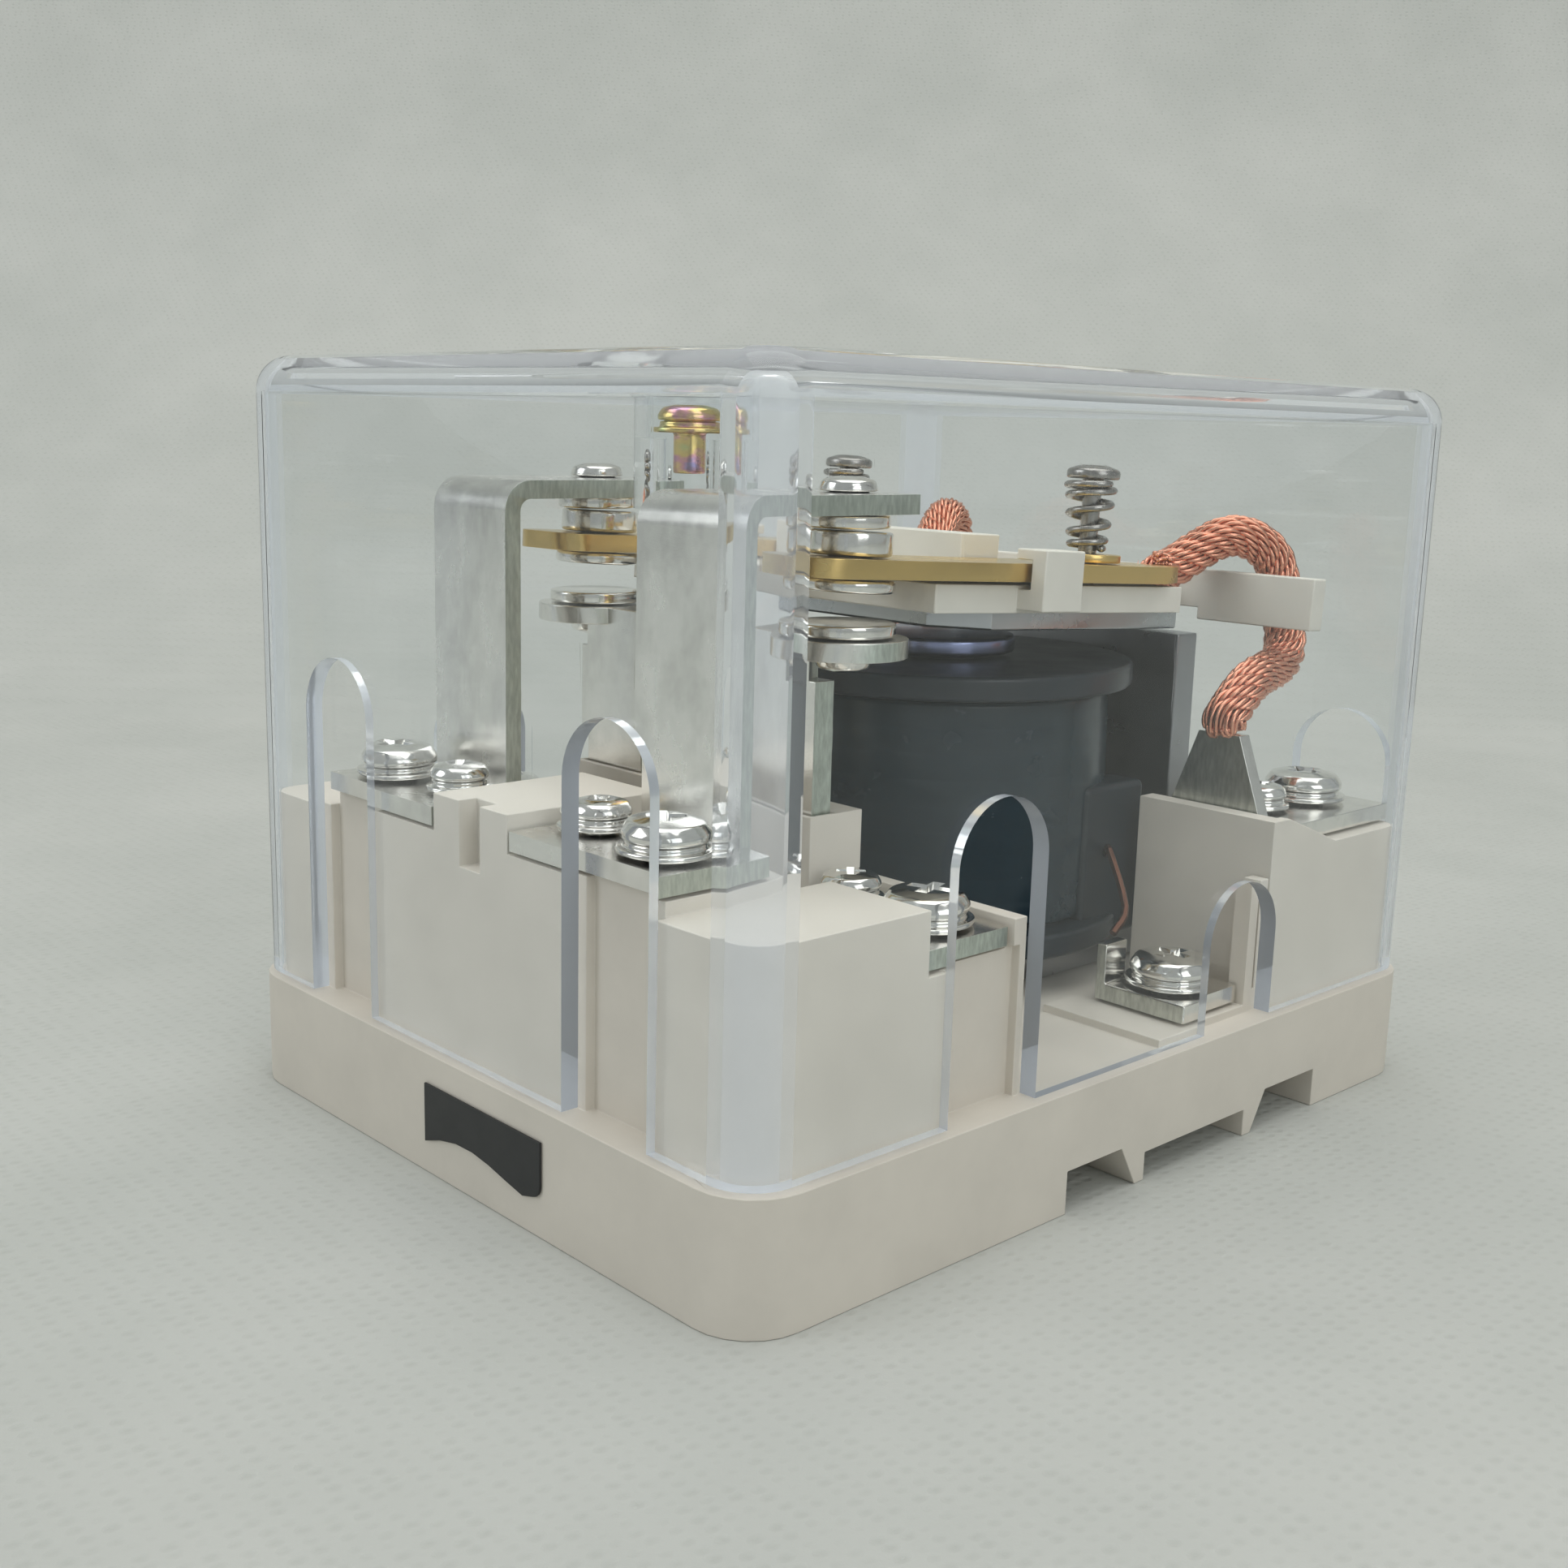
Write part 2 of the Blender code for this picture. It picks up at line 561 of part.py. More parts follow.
def rail_recess():
    """The way through for a 35 mm rail, with its two wedge teeth left standing."""
    start = -DEPTH / 2 + RAIL_RECESS_START
    end = start + RAIL_RECESS_WIDTH
    tooth = start + RAIL_TOOTH_INSET
    other = end - RAIL_TOOTH_INSET - PROUD
    top = RAIL_RECESS_HEIGHT
    low = -PROUD
    tip = RAIL_TOOTH_SLANT
    heel = RAIL_TOOTH_SLANT + RAIL_TOOTH_LAND
    points = [(start, low), (start, top), (tooth, top), (tooth + tip, 0), (tooth + heel, 0)]
    points += [(tooth + heel, RAIL_WEB_HEIGHT), (other - heel, RAIL_WEB_HEIGHT)]
    points += [(other - heel, 0), (other - tip, 0), (other, top), (end, top), (end, low)]
    return prism("rail_recess", points, -WIDTH / 2 - PROUD, WIDTH / 2 + PROUD, "X")


def corner_rounds():
    """Cutters that round the four corners standing inside the cover."""
    radius = COVER_CORNER - COVER_WALL - FIT
    x, y = UPSTAND_X, UPSTAND_Y
    outline = [*arc((x - radius, y - radius), radius, 0, 90, 4), (x - radius, y + PROUD)]
    outline += [(x + PROUD, y + PROUD), (x + PROUD, y - radius)]
    signs = ((1, 1), (-1, 1), (1, -1), (-1, -1))
    return [prism("round", [(sx * a, sy * b) for a, b in outline], PLINTH_HEIGHT, HEIGHT) for sx, sy in signs]


def front_notch():
    half = NOTCH_WIDTH / 2
    low = (-half, -UPSTAND_Y - PROUD, FRONT_BLOCK_Z - NOTCH_HEIGHT)
    high = (half, -UPSTAND_Y + NOTCH_DEPTH, FRONT_BLOCK_Z + PROUD)
    return box("notch", low, high)


def wire_grooves(side):
    """Shallow grooves that lead each wire from its cover slot up to the clamp screw."""
    half = WIRE_GROOVE_WIDTH / 2
    deep = WIRE_GROOVE_DEPTH
    bottom = PLINTH_HEIGHT
    return [
        block(
            side, FRONT_SLOT_X - half, FRONT_SLOT_X + half, -DEPTH, -UPSTAND_Y + deep, bottom, FRONT_SEAT_Z + FIT
        ),
        block(side, REAR_SLOT_X - half, REAR_SLOT_X + half, UPSTAND_Y - deep, DEPTH, bottom, REAR_SEAT_Z + FIT),
        block(side, UPSTAND_X - deep, WIDTH, SIDE_SLOT_Y - half, SIDE_SLOT_Y + half, bottom, SIDE_SEAT_Z + FIT),
    ]


def yoke_screw_holes(side):
    top = YOKE_Z0 + YOKE_PLATE
    bottom = top - YOKE_SCREW["length"] - 2 * FIT
    place = (side * YOKE_SCREW_X, YOKE_SCREW_Y)
    return [rod("hole", YOKE_SCREW["shank"] + HOLE_PLAY, bottom, top + PROUD, place, 16)]


def make_cover(look):
    half_x = WIDTH / 2 - COVER_INSET
    half_y = DEPTH / 2 - COVER_INSET
    cover = domed("cover", (half_x, half_y, COVER_CORNER), COVER_FILLET, COVER_Z0, HEIGHT)
    inside = (half_x - COVER_WALL, half_y - COVER_WALL, COVER_CORNER - COVER_WALL)
    cut(cover, domed("hollow", inside, COVER_FILLET - COVER_WALL, 0, HEIGHT - COVER_TOP))
    join(cover, rod("boss", BOSS_RADIUS, BOSS_Z, HEIGHT - COVER_TOP / 2, (0, POST_Y), 32))
    bore = COVER_SCREW_SHANK + FIT
    stepped = [(0, BOSS_Z - PROUD), (bore, BOSS_Z - PROUD), (bore, SCREW_SEAT_Z), (BOSS_COUNTERBORE, SCREW_SEAT_Z)]
    stepped += [(BOSS_COUNTERBORE, HEIGHT + PROUD), (0, HEIGHT + PROUD)]
    cut(cover, turned("bore", stepped, (0, POST_Y, 0), 30))
    radius = SLOT_WIDTH / 2
    reach = 3 * MM
    for side in (1, -1):
        slots = [
            (side * FRONT_SLOT_X, FRONT_SLOT_TOP, -half_y, "Y"),
            (side * REAR_SLOT_X, REAR_SLOT_TOP, half_y, "Y"),
            (SIDE_SLOT_Y, SIDE_SLOT_TOP, side * half_x, "X"),
            (COIL_SLOT_Y, COIL_SLOT_TOP, side * half_x, "X"),
        ]
        for center, top, wall, axis in slots:
            cut(cover, prism("slot", slot_outline(center, top, radius, 0), wall - reach, wall + reach, axis))
    return finish(cover, look)


def make_cover_fixing(look):
    """The hollow standoff on the base, and the long screw that holds the cover to it."""
    bottom = POST_Z0 + FIT
    top = BOSS_Z - FIT
    post = prism("cover_post", arc((0, 0), POST_RADIUS / math.cos(math.pi / 6), 0, 300, 5), bottom, top)
    post.location = (0, POST_Y, 0)
    bpy.context.view_layer.update()
    bore_z = top - COVER_SCREW_REACH - FIT
    cut(post, rod("bore", COVER_SCREW_SHANK + HOLE_PLAY, bore_z, top + PROUD, (0, POST_Y), 20))
    finish(post, look, smooth=False)
    size = {
        "shank": COVER_SCREW_SHANK, "head": COVER_SCREW_HEAD,
        "height": 2 * MM, "washer": COVER_SCREW_HEAD + 0.4 * MM,
        "length": SCREW_SEAT_Z - BOSS_Z + FIT + COVER_SCREW_REACH,
    }
    pan_screw("cover_screw", size, (0, POST_Y, SCREW_SEAT_Z), look)


def strip_profile():
    """Side view of the front terminal's bar: up from the plate, then back over the contact."""
    y0 = STRIP_Y - BAR
    y1 = STRIP_Y
    z0 = FRONT_SEAT_Z + FIT
    z1 = NC_ARM_Z + BAR
    end = CONTACT_Y + NC_ARM_OVERHANG
    outer = arc((y0 + BEND + BAR, z1 - BEND - BAR), BEND + BAR, 180, 90, 6)
    inner = arc((y1 + BEND, NC_ARM_Z - BEND), BEND, 90, 180, 5)
    return [(y0, z0), *outer, (end, z1), (end, NC_ARM_Z), *inner, (y1, z0)]


def make_nc_terminal(metal):
    z0 = FRONT_SEAT_Z + FIT
    x0 = FRONT_BLOCK_HALF + FIT
    high = (x0 + FRONT_PLATE_WIDTH, STRIP_Y - BAR / 2, z0 + BAR)
    bar = box("nc_terminal_right", (x0, -UPSTAND_Y, z0), high)
    strip = prism("strip", strip_profile(), FRONT_STRIP_X, FRONT_STRIP_X + FRONT_STRIP_WIDTH, "X")
    join(bar, strip)
    place = (POLE_X, CONTACT_Y)
    rivet_hole = rod("hole", NECK_RADIUS + HOLE_PLAY, NC_ARM_Z - PROUD, NC_ARM_Z + BAR + PROUD, place)
    cut(bar, rivet_hole, *terminal_holes(1, "nc", HOLE_PLAY))
    return finish(bar, metal)


def make_no_terminal(metal):
    z0 = SIDE_SEAT_Z + FIT
    inner = NO_BAR_X
    outer = UPSTAND_X - PLATE_SETBACK
    knee = NO_BAR_X + NO_BAR_WIDTH
    lead_in = knee + 1.2 * MM
    rear = NO_BAR_Y + NO_BAR
    bar = box("no_terminal_right", (lead_in, SIDE_PLATE_Y0, z0), (outer, SIDE_PLATE_Y1, z0 + BAR))
    foot = box("foot", (inner, SIDE_PLATE_Y0, z0), (lead_in + PROUD, rear, z0 + BAR))
    upright = box("upright", (inner, NO_BAR_Y, z0), (knee, rear, NO_PLATE_Z + BAR / 2))
    place = (POLE_X, CONTACT_Y)
    top = NO_PLATE_Z + BAR
    tongue = rod("tongue", NO_TONGUE_RADIUS, NO_PLATE_Z, top, place, 32)
    bridge = box("bridge", (inner, NO_BAR_Y, NO_PLATE_Z), (POLE_X, CONTACT_Y + NO_TONGUE_RADIUS, top))
    join(bar, foot, upright, bridge, tongue)
    rivet_hole = rod("hole", NECK_RADIUS + HOLE_PLAY, NO_PLATE_Z - PROUD, top + PROUD, place)
    tail_room = rod("room", CLENCH_RADIUS + FIT, NO_PLATE_Z - CLENCH_HEIGHT - 3 * FIT, NO_PLATE_Z, place, 20)
    cut(bar, tail_room, rivet_hole, *terminal_holes(1, "no", HOLE_PLAY))
    return finish(bar, metal)


def make_com_terminal(metal):
    z0 = REAR_SEAT_Z + FIT
    y0 = REAR_PLATE_Y
    high = (REAR_PLATE_X1, UPSTAND_Y - PLATE_SETBACK, z0 + BAR)
    bar = box("com_terminal_right", (REAR_PLATE_X0, y0, z0), high)
    middle = REAR_LUG_X
    foot = LUG_FOOT_WIDTH / 2
    neck = LUG_TOP_WIDTH / 2
    top = z0 + LUG_HEIGHT
    shoulder = z0 + BAR + FIT
    outline = [
        (middle - foot, z0), (middle + foot, z0), (middle + foot, shoulder),
        (middle + neck, top), (middle - neck, top), (middle - foot, shoulder),
    ]
    join(bar, prism("lug", outline, y0, y0 + BAR, "Y"))
    cut(bar, *terminal_holes(1, "com", HOLE_PLAY))
    return finish(bar, metal)


def make_coil_terminal(metal):
    x, y = SCREWS["coil"]["clamp"]
    z0 = COIL_SEAT_Z + FIT
    low = (x - COIL_PLATE_WIDTH / 2, y - COIL_PLATE_DEPTH / 2, z0)
    high = (x + COIL_PLATE_WIDTH / 2, y + COIL_PLATE_DEPTH / 2, z0 + BAR)
    plate = box("coil_terminal_right", low, high)
    tag = box("tag", (low[0], low[1], z0), (low[0] + 1 * MM, low[1] + 3 * MM, z0 + COIL_TAG))
    join(plate, tag)
    cut(plate, *terminal_holes(1, "coil", HOLE_PLAY))
    return finish(plate, metal)


def make_fixed_contacts(silver):
    """Riveted contacts: a broad face, a neck through the bar and a closed-over tail."""
    tail = CLENCH_HEIGHT
    over = NC_ARM_Z + BAR + SEAT
    nc = turned(
        "nc_contact_right",
        [
            (0, NC_FACE_Z), (NC_CONTACT_RADIUS - 0.4 * MM, NC_FACE_Z), (NC_CONTACT_RADIUS, NC_FACE_Z + 0.35 * MM),
            (NC_CONTACT_RADIUS, NC_FACE_Z + FIXED_HEAD), (NECK_RADIUS, NC_FACE_Z + FIXED_HEAD),
            (NECK_RADIUS, over), (CLENCH_RADIUS, over), (0.9 * CLENCH_RADIUS, over + 0.7 * tail),
            (0.5 * CLENCH_RADIUS, over + tail), (0, over + tail),
        ],
        (POLE_X, CONTACT_Y, 0), 20,
    )
    under = NO_PLATE_Z - SEAT
    head = NO_FACE_Z - FIXED_HEAD
    no = turned(
        "no_contact_right",
        [
            (0, under - tail), (0.5 * CLENCH_RADIUS, under - tail), (0.9 * CLENCH_RADIUS, under - 0.7 * tail),
            (CLENCH_RADIUS, under), (NECK_RADIUS, under), (NECK_RADIUS, head), (NO_CONTACT_RADIUS, head),
            (NO_CONTACT_RADIUS, NO_FACE_Z - 0.4 * MM), (NO_CONTACT_RADIUS - 0.5 * MM, NO_FACE_Z), (0, NO_FACE_Z),
        ],
        (POLE_X, CONTACT_Y, 0), 20,
    )
    return [finish(nc, silver), finish(no, silver)]


def make_moving_contact(silver):
    low = ARM_Z - SEAT
    high = ARM_Z + BAR + SEAT
    bottom = low - LOWER_HEAD
    top = high + UPPER_HEAD
    wide = NC_CONTACT_RADIUS + MOVING_OVERLAP
    contact = turned(
        "moving_contact_right",
        [
            (0, bottom), (wide - 0.5 * MM, bottom), (wide, bottom + 0.4 * MM), (wide, low), (NECK_RADIUS, low),
            (NECK_RADIUS, high), (NC_CONTACT_RADIUS, high), (NC_CONTACT_RADIUS, top - 0.5 * MM),
            (NC_CONTACT_RADIUS - 0.6 * MM, top), (0, top),
        ],
        (POLE_X, CONTACT_Y, 0), 20,
    )
    return finish(contact, silver)


def make_moving_arm(brass):
    half = ARM_WIDTH / 2
    front = CONTACT_Y - ARM_FRONT
    rear = ARM_REAR_Y
    nose = ARM_NOSE
    outline = [*arc((POLE_X - half + nose, front + nose), nose, 180, 270, 6)]
    outline += arc((POLE_X + half - nose, front + nose), nose, 270, 360, 6)
    outline += [(POLE_X + half, rear - ARM_TAIL), (POLE_X + ARM_NOSE, rear)]
    outline += [(POLE_X - ARM_NOSE, rear), (POLE_X - half, rear - ARM_TAIL)]
    arm = prism("moving_arm_right", outline, ARM_Z, ARM_Z + BAR)
    holes = [
        rod("hole", NECK_RADIUS + HOLE_PLAY, ARM_Z - PROUD, ARM_Z + BAR + PROUD, (POLE_X, CONTACT_Y)),
        rod("hole", PIN_SHANK + HOLE_PLAY, ARM_Z - PROUD, ARM_Z + BAR + PROUD, (POLE_X, PRESS_SPRING_Y)),
    ]
    cut(arm, *holes)
    return finish(arm, brass)


def make_press_spring(brass, steel):
    """The pin, washer and conical spring that press one moving arm down on the carrier."""
    washer_z = ARM_Z + BAR + SEAT
    bore = PIN_SHANK + HOLE_PLAY
    washer = turned(
        "spring_washer_right",
        [
            (bore, washer_z), (WASHER_RADIUS, washer_z), (WASHER_RADIUS, washer_z + WASHER),
            (bore, washer_z + WASHER), (bore, washer_z),
        ],
        (POLE_X, PRESS_SPRING_Y, 0), 20,
    )
    base_z = washer_z + WASHER + PRESS_SPRING_WIRE + SEAT
    top_z = base_z + PRESS_SPRING_HEIGHT
    cap = top_z + PRESS_SPRING_WIRE + SEAT
    foot = CARRIER_Z + FIT
    pin = turned(
        "spring_pin_right",
        [
            (0, foot), (PIN_SHANK, foot), (PIN_SHANK, cap), (PIN_HEAD - FIT, cap), (PIN_HEAD, cap + 0.4 * MM),
            (PIN_HEAD - FIT, cap + 0.9 * MM), (1 * MM, cap + 1.2 * MM), (0, cap + 1.2 * MM),
        ],
        (POLE_X, PRESS_SPRING_Y, 0), 16,
    )
    ends = (PRESS_SPRING_FOOT, PRESS_SPRING_CROWN)
    coils = helix((POLE_X, PRESS_SPRING_Y), base_z, top_z, ends, PRESS_SPRING_TURNS)
    spring = tube("press_spring_right", coils, PRESS_SPRING_WIRE, 1)
    return [finish(washer, brass), finish(pin, steel), finish(spring, steel)]


def helix(center, z0, z1, radii, turns):
    """Points up a helix whose radius runs from the first of the radii to the second."""
    steps = round(turns * 10)
    points = []
    for i in range(steps + 1):
        share = i / steps
        angle = share * turns * math.tau
        radius = radii[0] + (radii[1] - radii[0]) * share
        x = center[0] + radius * math.cos(angle)
        y = center[1] + radius * math.sin(angle)
        points.append((x, y, z0 + (z1 - z0) * share))
    return points


def tube(name, points, radius, resolution):
    """A round wire through the points, turned from a curve into a closed mesh."""
    curve = bpy.data.curves.new(name + "_path", "CURVE")
    curve.dimensions = "3D"
    curve.bevel_depth = radius
    curve.bevel_resolution = resolution
    curve.use_fill_caps = True
    spline = curve.splines.new("POLY")
    spline.points.add(len(points) - 1)
    for target, point in zip(spline.points, points):
        target.co = (*point, 1)
    wire = bpy.data.objects.new(name + "_path", curve)
    bpy.context.scene.collection.objects.link(wire)
    graph = bpy.context.evaluated_depsgraph_get()
    mesh = bpy.data.meshes.new_from_object(wire.evaluated_get(graph))
    bpy.data.objects.remove(wire)
    bm = bmesh.new()
    bm.from_mesh(mesh)
    bmesh.ops.remove_doubles(bm, verts=bm.verts, dist=0.00001)
    return new_object(name, bm)


def smooth_route(points, steps):
    """A Catmull-Rom curve through the points."""
    ends = [points[0] * 2 - points[1], *points, points[-1] * 2 - points[-2]]
    route = []
    for a, b, c, d in zip(ends, ends[1:], ends[2:], ends[3:]):
        for i in range(steps):
            t = i / steps
            bend = 2 * a - 5 * b + 4 * c - d
            twist = 3 * b - a - 3 * c + d
            route.append(0.5 * (2 * b + (c - a) * t + bend * t**2 + twist * t**3))
    return [*route, points[-1]]


def released(point):
    """Where a point of the pulled-in armature lies once it has swung to rest."""
    swing = Matrix.Rotation(-OPEN_ANGLE, 4, "X")
    return HINGE + swing @ (Vector(point) - HINGE)


def make_braid(copper):
    """The copper braid from the moving arm's tail, over the guard and down to the lug."""
    start = released((POLE_X, ARM_REAR_Y, ARM_Z + BAR / 2)) + Vector((0, FIT + 0.2 * MM, 0))
    lug = Vector((REAR_LUG_X, REAR_PLATE_Y + BAR / 2, REAR_SEAT_Z + FIT + LUG_HEIGHT + 2 * FIT))
    guard_y = HINGE.y + GUARD_DEPTH
    points = [
        start,
        start + Vector((0.1, 1.6, 0.25)) * MM,
        Vector((POLE_X + 2.6 * MM, guard_y - 2 * MM, start.z + 3.3 * MM)),
        Vector((POLE_X + 4.6 * MM, guard_y + 2 * MM, start.z + 1.8 * MM)),
        Vector((POLE_X + 6 * MM, guard_y + 2.6 * MM, start.z - 2.6 * MM)),
        Vector((lug.x - 1.6 * MM, guard_y + 1.2 * MM, lug.z + 5.2 * MM)),
        lug + Vector((-0.3, 4.2, 3.6)) * MM,
        lug + Vector((0, 0.2, 0.9)) * MM,
        lug,
    ]
    return finish(tube("braid_right", smooth_route(points, 4), BRAID_RADIUS, 2), copper)


def make_carrier(white):
    """The white moulding that ties both moving arms to the armature."""
    top = CARRIER_Z + CARRIER_PLATE
    half = POLE_X + ARM_WIDTH / 2
    arm_edge = half + FIT
    clip_x = arm_edge + CLIP_WALL
    rib_half = POLE_X - ARM_WIDTH / 2 - FIT
    guard_y = HINGE.y - GUARD_LEAD
    edge = half - MM
    tail = ARMATURE_WIDTH / 2
    shoulder = ARM_REAR_Y
    front = CONTACT_Y + CARRIER_FRONT
    outline = [(-edge, front), (edge, front), (edge, shoulder), (tail, shoulder)]
    outline += [(tail, guard_y + MM), (-tail, guard_y + MM), (-tail, shoulder), (-edge, shoulder)]
    plate = prism("contact_carrier", outline, CARRIER_Z, top)
    lip_z = ARM_Z + BAR + FIT
    lip_top = lip_z + CLIP_LIP_HEIGHT
    guard_top = CARRIER_Z + GUARD_HEIGHT
    step_x = YOKE_WIDTH / 2 + MM
    skirt_z = CARRIER_Z - GUARD_SKIRT
    guard = [(-GUARD_HALF_WIDTH, skirt_z), (-step_x, skirt_z), (-step_x, CARRIER_Z + 0.2 * MM)]
    guard += [(step_x, CARRIER_Z + 0.2 * MM), (step_x, skirt_z), (GUARD_HALF_WIDTH, skirt_z)]
    guard += [(GUARD_HALF_WIDTH, guard_top), (-GUARD_HALF_WIDTH, guard_top)]
    rib_y = CLIP_Y + CLIP_WALL
    pieces = [
        box("rib", (-rib_half, rib_y, top - MM), (rib_half, rib_y + CLIP_WIDTH, top + CARRIER_RIB)),
        prism("guard", guard, guard_y, guard_y + GUARD_DEPTH, "Y"),
    ]
    for side in (1, -1):
        clip = [(edge - MM, CARRIER_Z + 0.3 * MM), (clip_x, CARRIER_Z + 0.3 * MM), (clip_x, lip_top)]
        clip += [(arm_edge - CLIP_LIP, lip_top), (arm_edge - CLIP_LIP, lip_z), (arm_edge, lip_z)]
        clip += [(arm_edge, top - 0.3 * MM), (edge - MM, top - 0.3 * MM)]
        pieces.append(prism("clip", [(side * x, z) for x, z in clip], CLIP_Y, CLIP_Y + CLIP_WIDTH, "Y"))
    join(plate, *pieces)
    bottom = CARRIER_Z - PROUD
    for side in (1, -1):
        pin_place = (side * POLE_X, PRESS_SPRING_Y)
        cut(plate, rod("hole", PIN_SHANK + HOLE_PLAY, bottom, top + PROUD, pin_place, 16))
        bridge_place = (side * BRIDGE_X, BRIDGE_Y)
        cut(plate, rod("hole", BRIDGE["shank"] + HOLE_PLAY, bottom, top + PROUD, bridge_place, 16))
    return finish(bevel(plate, 0.3 * MM, 1, 60), white)


def make_armature(steel):
    rear = HINGE.y + YOKE_PLATE / 2 - 2 * FIT
    half = ARMATURE_WIDTH / 2
    front = rear - ARMATURE_LENGTH
    nose = ARMATURE_NOSE
    outline = [(-half, rear), (-half, front + nose), (-half + nose, front), (half - nose, front)]
    outline += [(half, front + nose), (half, rear), (SPRING_TAB_HALF, rear), (SPRING_TAB_HALF, SPRING_TAB_Y)]
    outline += [(-SPRING_TAB_HALF, SPRING_TAB_Y), (-SPRING_TAB_HALF, rear)]
    top = ARMATURE_Z + ARMATURE_PLATE
    armature = prism("armature", outline, ARMATURE_Z, top)
    cut(armature, rod("eye", SPRING_EYE, ARMATURE_Z - PROUD, top + PROUD, (0, RETURN_SPRING_Y), 12))
    for side in (1, -1):
        place = (side * BRIDGE_X, BRIDGE_Y)
        cut(armature, rod("hole", BRIDGE["shank"] + HOLE_PLAY, ARMATURE_Z - PROUD, top + PROUD, place, 12))
    return finish(bevel(armature, 0.2 * MM, 1, 60), steel)


def make_magnet(steel, black, tape):
    """The yoke, the core and the coil on its spool."""
    half = YOKE_WIDTH / 2
    inner = YOKE_BACK_Y - YOKE_PLATE
    toe = YOKE_SCREW_Y - YOKE_TOE / 2
    yoke = box("yoke", (-half, toe, YOKE_Z0), (half, YOKE_BACK_Y, YOKE_Z0 + YOKE_PLATE))
    join(yoke, box("back", (-half, inner, YOKE_Z0), (half, YOKE_BACK_Y, POLE_FACE_Z)))
    cut(yoke, rod("hole", CORE_SHANK - MM + HOLE_PLAY, 0, SPOOL_Z0 + PROUD, (0, COIL_Y), 28))
    for side in (1, -1):
        place = (side * YOKE_SCREW_X, YOKE_SCREW_Y)
        cut(yoke, rod("hole", YOKE_SCREW["shank"] + HOLE_PLAY, 0, SPOOL_Z0 + PROUD, place, 16))
    tab_z = YOKE_Z0 + YOKE_TAB_RISE
    high = (SPRING_TAB_HALF, SPRING_TAB_Y, tab_z + YOKE_TAB)
    join(yoke, box("tab", (-SPRING_TAB_HALF, YOKE_BACK_Y - PROUD, tab_z), high))
    cut(yoke, rod("eye", SPRING_EYE, tab_z - PROUD, tab_z + YOKE_TAB + PROUD, (0, RETURN_SPRING_Y), 12))
    finish(bevel(yoke, 0.25 * MM, 1, 60), steel)

    pole = POLE_FACE_Z - CORE_POLE
    pole_radius = CORE_RADIUS + CORE_POLE
    shoulder = YOKE_Z0 + YOKE_PLATE + SEAT
    core = turned(
        "core",
        [
            (0, YOKE_Z0 + HOLE_PLAY), (CORE_SHANK - MM, YOKE_Z0 + HOLE_PLAY), (CORE_SHANK - MM, shoulder),
            (CORE_SHANK, shoulder), (CORE_SHANK, pole), (pole_radius, pole),
            (pole_radius, POLE_FACE_Z - 0.5 * MM), (pole_radius - 0.5 * MM, POLE_FACE_Z), (0, POLE_FACE_Z),
        ],
        (0, COIL_Y, 0), 28,
    )
    finish(core, steel)

    bore = CORE_SHANK + FIT
    low = SPOOL_Z0 + FLANGE
    high = SPOOL_Z1 - FLANGE
    spool = turned(
        "coil_bobbin",
        [
            (bore, SPOOL_Z0), (COIL_RADIUS, SPOOL_Z0), (COIL_RADIUS, low), (SPOOL_RADIUS, low),
            (SPOOL_RADIUS, high), (COIL_RADIUS, high), (COIL_RADIUS, SPOOL_Z1), (bore, SPOOL_Z1),
            (bore, SPOOL_Z0),
        ],
        (0, COIL_Y, 0), 36,
    )
    block_end = LEAD_BLOCK_Y + LEAD_BLOCK_DEPTH
    block_top = SPOOL_Z0 + LEAD_BLOCK_HEIGHT
    for side in (1, -1):
        join(spool, block(side, LEAD_BLOCK_X, LEAD_BLOCK_END, LEAD_BLOCK_Y, block_end, SPOOL_Z0, block_top))
    finish(spool, black)

    winding = turned(
        "coil_winding",
        [
            (SPOOL_RADIUS + FIT, low + FIT), (WINDING_RADIUS, low + FIT), (WINDING_RADIUS, high - FIT),
            (SPOOL_RADIUS + FIT, high - FIT), (SPOOL_RADIUS + FIT, low + FIT),
        ],
        (0, COIL_Y, 0), 36,
    )
    for side in (1, -1):
        start_y = LEAD_BLOCK_Y - FIT
        room = block(
            side, LEAD_BLOCK_X - FIT, COIL_RADIUS + PROUD, start_y, block_end + FIT, 0, block_top + FIT
        )
        cut(winding, room)
    finish(winding, tape)


def make_return_spring(steel):
    """The tension spring behind the yoke, from the yoke's tab up to the armature's tail."""
    tab_top = YOKE_Z0 + YOKE_TAB_RISE + YOKE_TAB
    low = tab_top + 2.2 * MM
    high = ARMATURE_Z - 3.6 * MM
    y = RETURN_SPRING_Y
    ends = (RETURN_SPRING_RADIUS, RETURN_SPRING_RADIUS)
    coils = helix((0, y), low, high, ends, RETURN_SPRING_TURNS)
    below = [(0, y, tab_top - YOKE_TAB - MM), (0, y, tab_top + 0.8 * MM)]
    above = [(0, y, ARMATURE_Z - 1.6 * MM), (0, y, ARMATURE_Z + ARMATURE_PLATE + 0.8 * MM)]
    return finish(tube("return_spring", below + coils + above, RETURN_SPRING_WIRE, 1), steel)


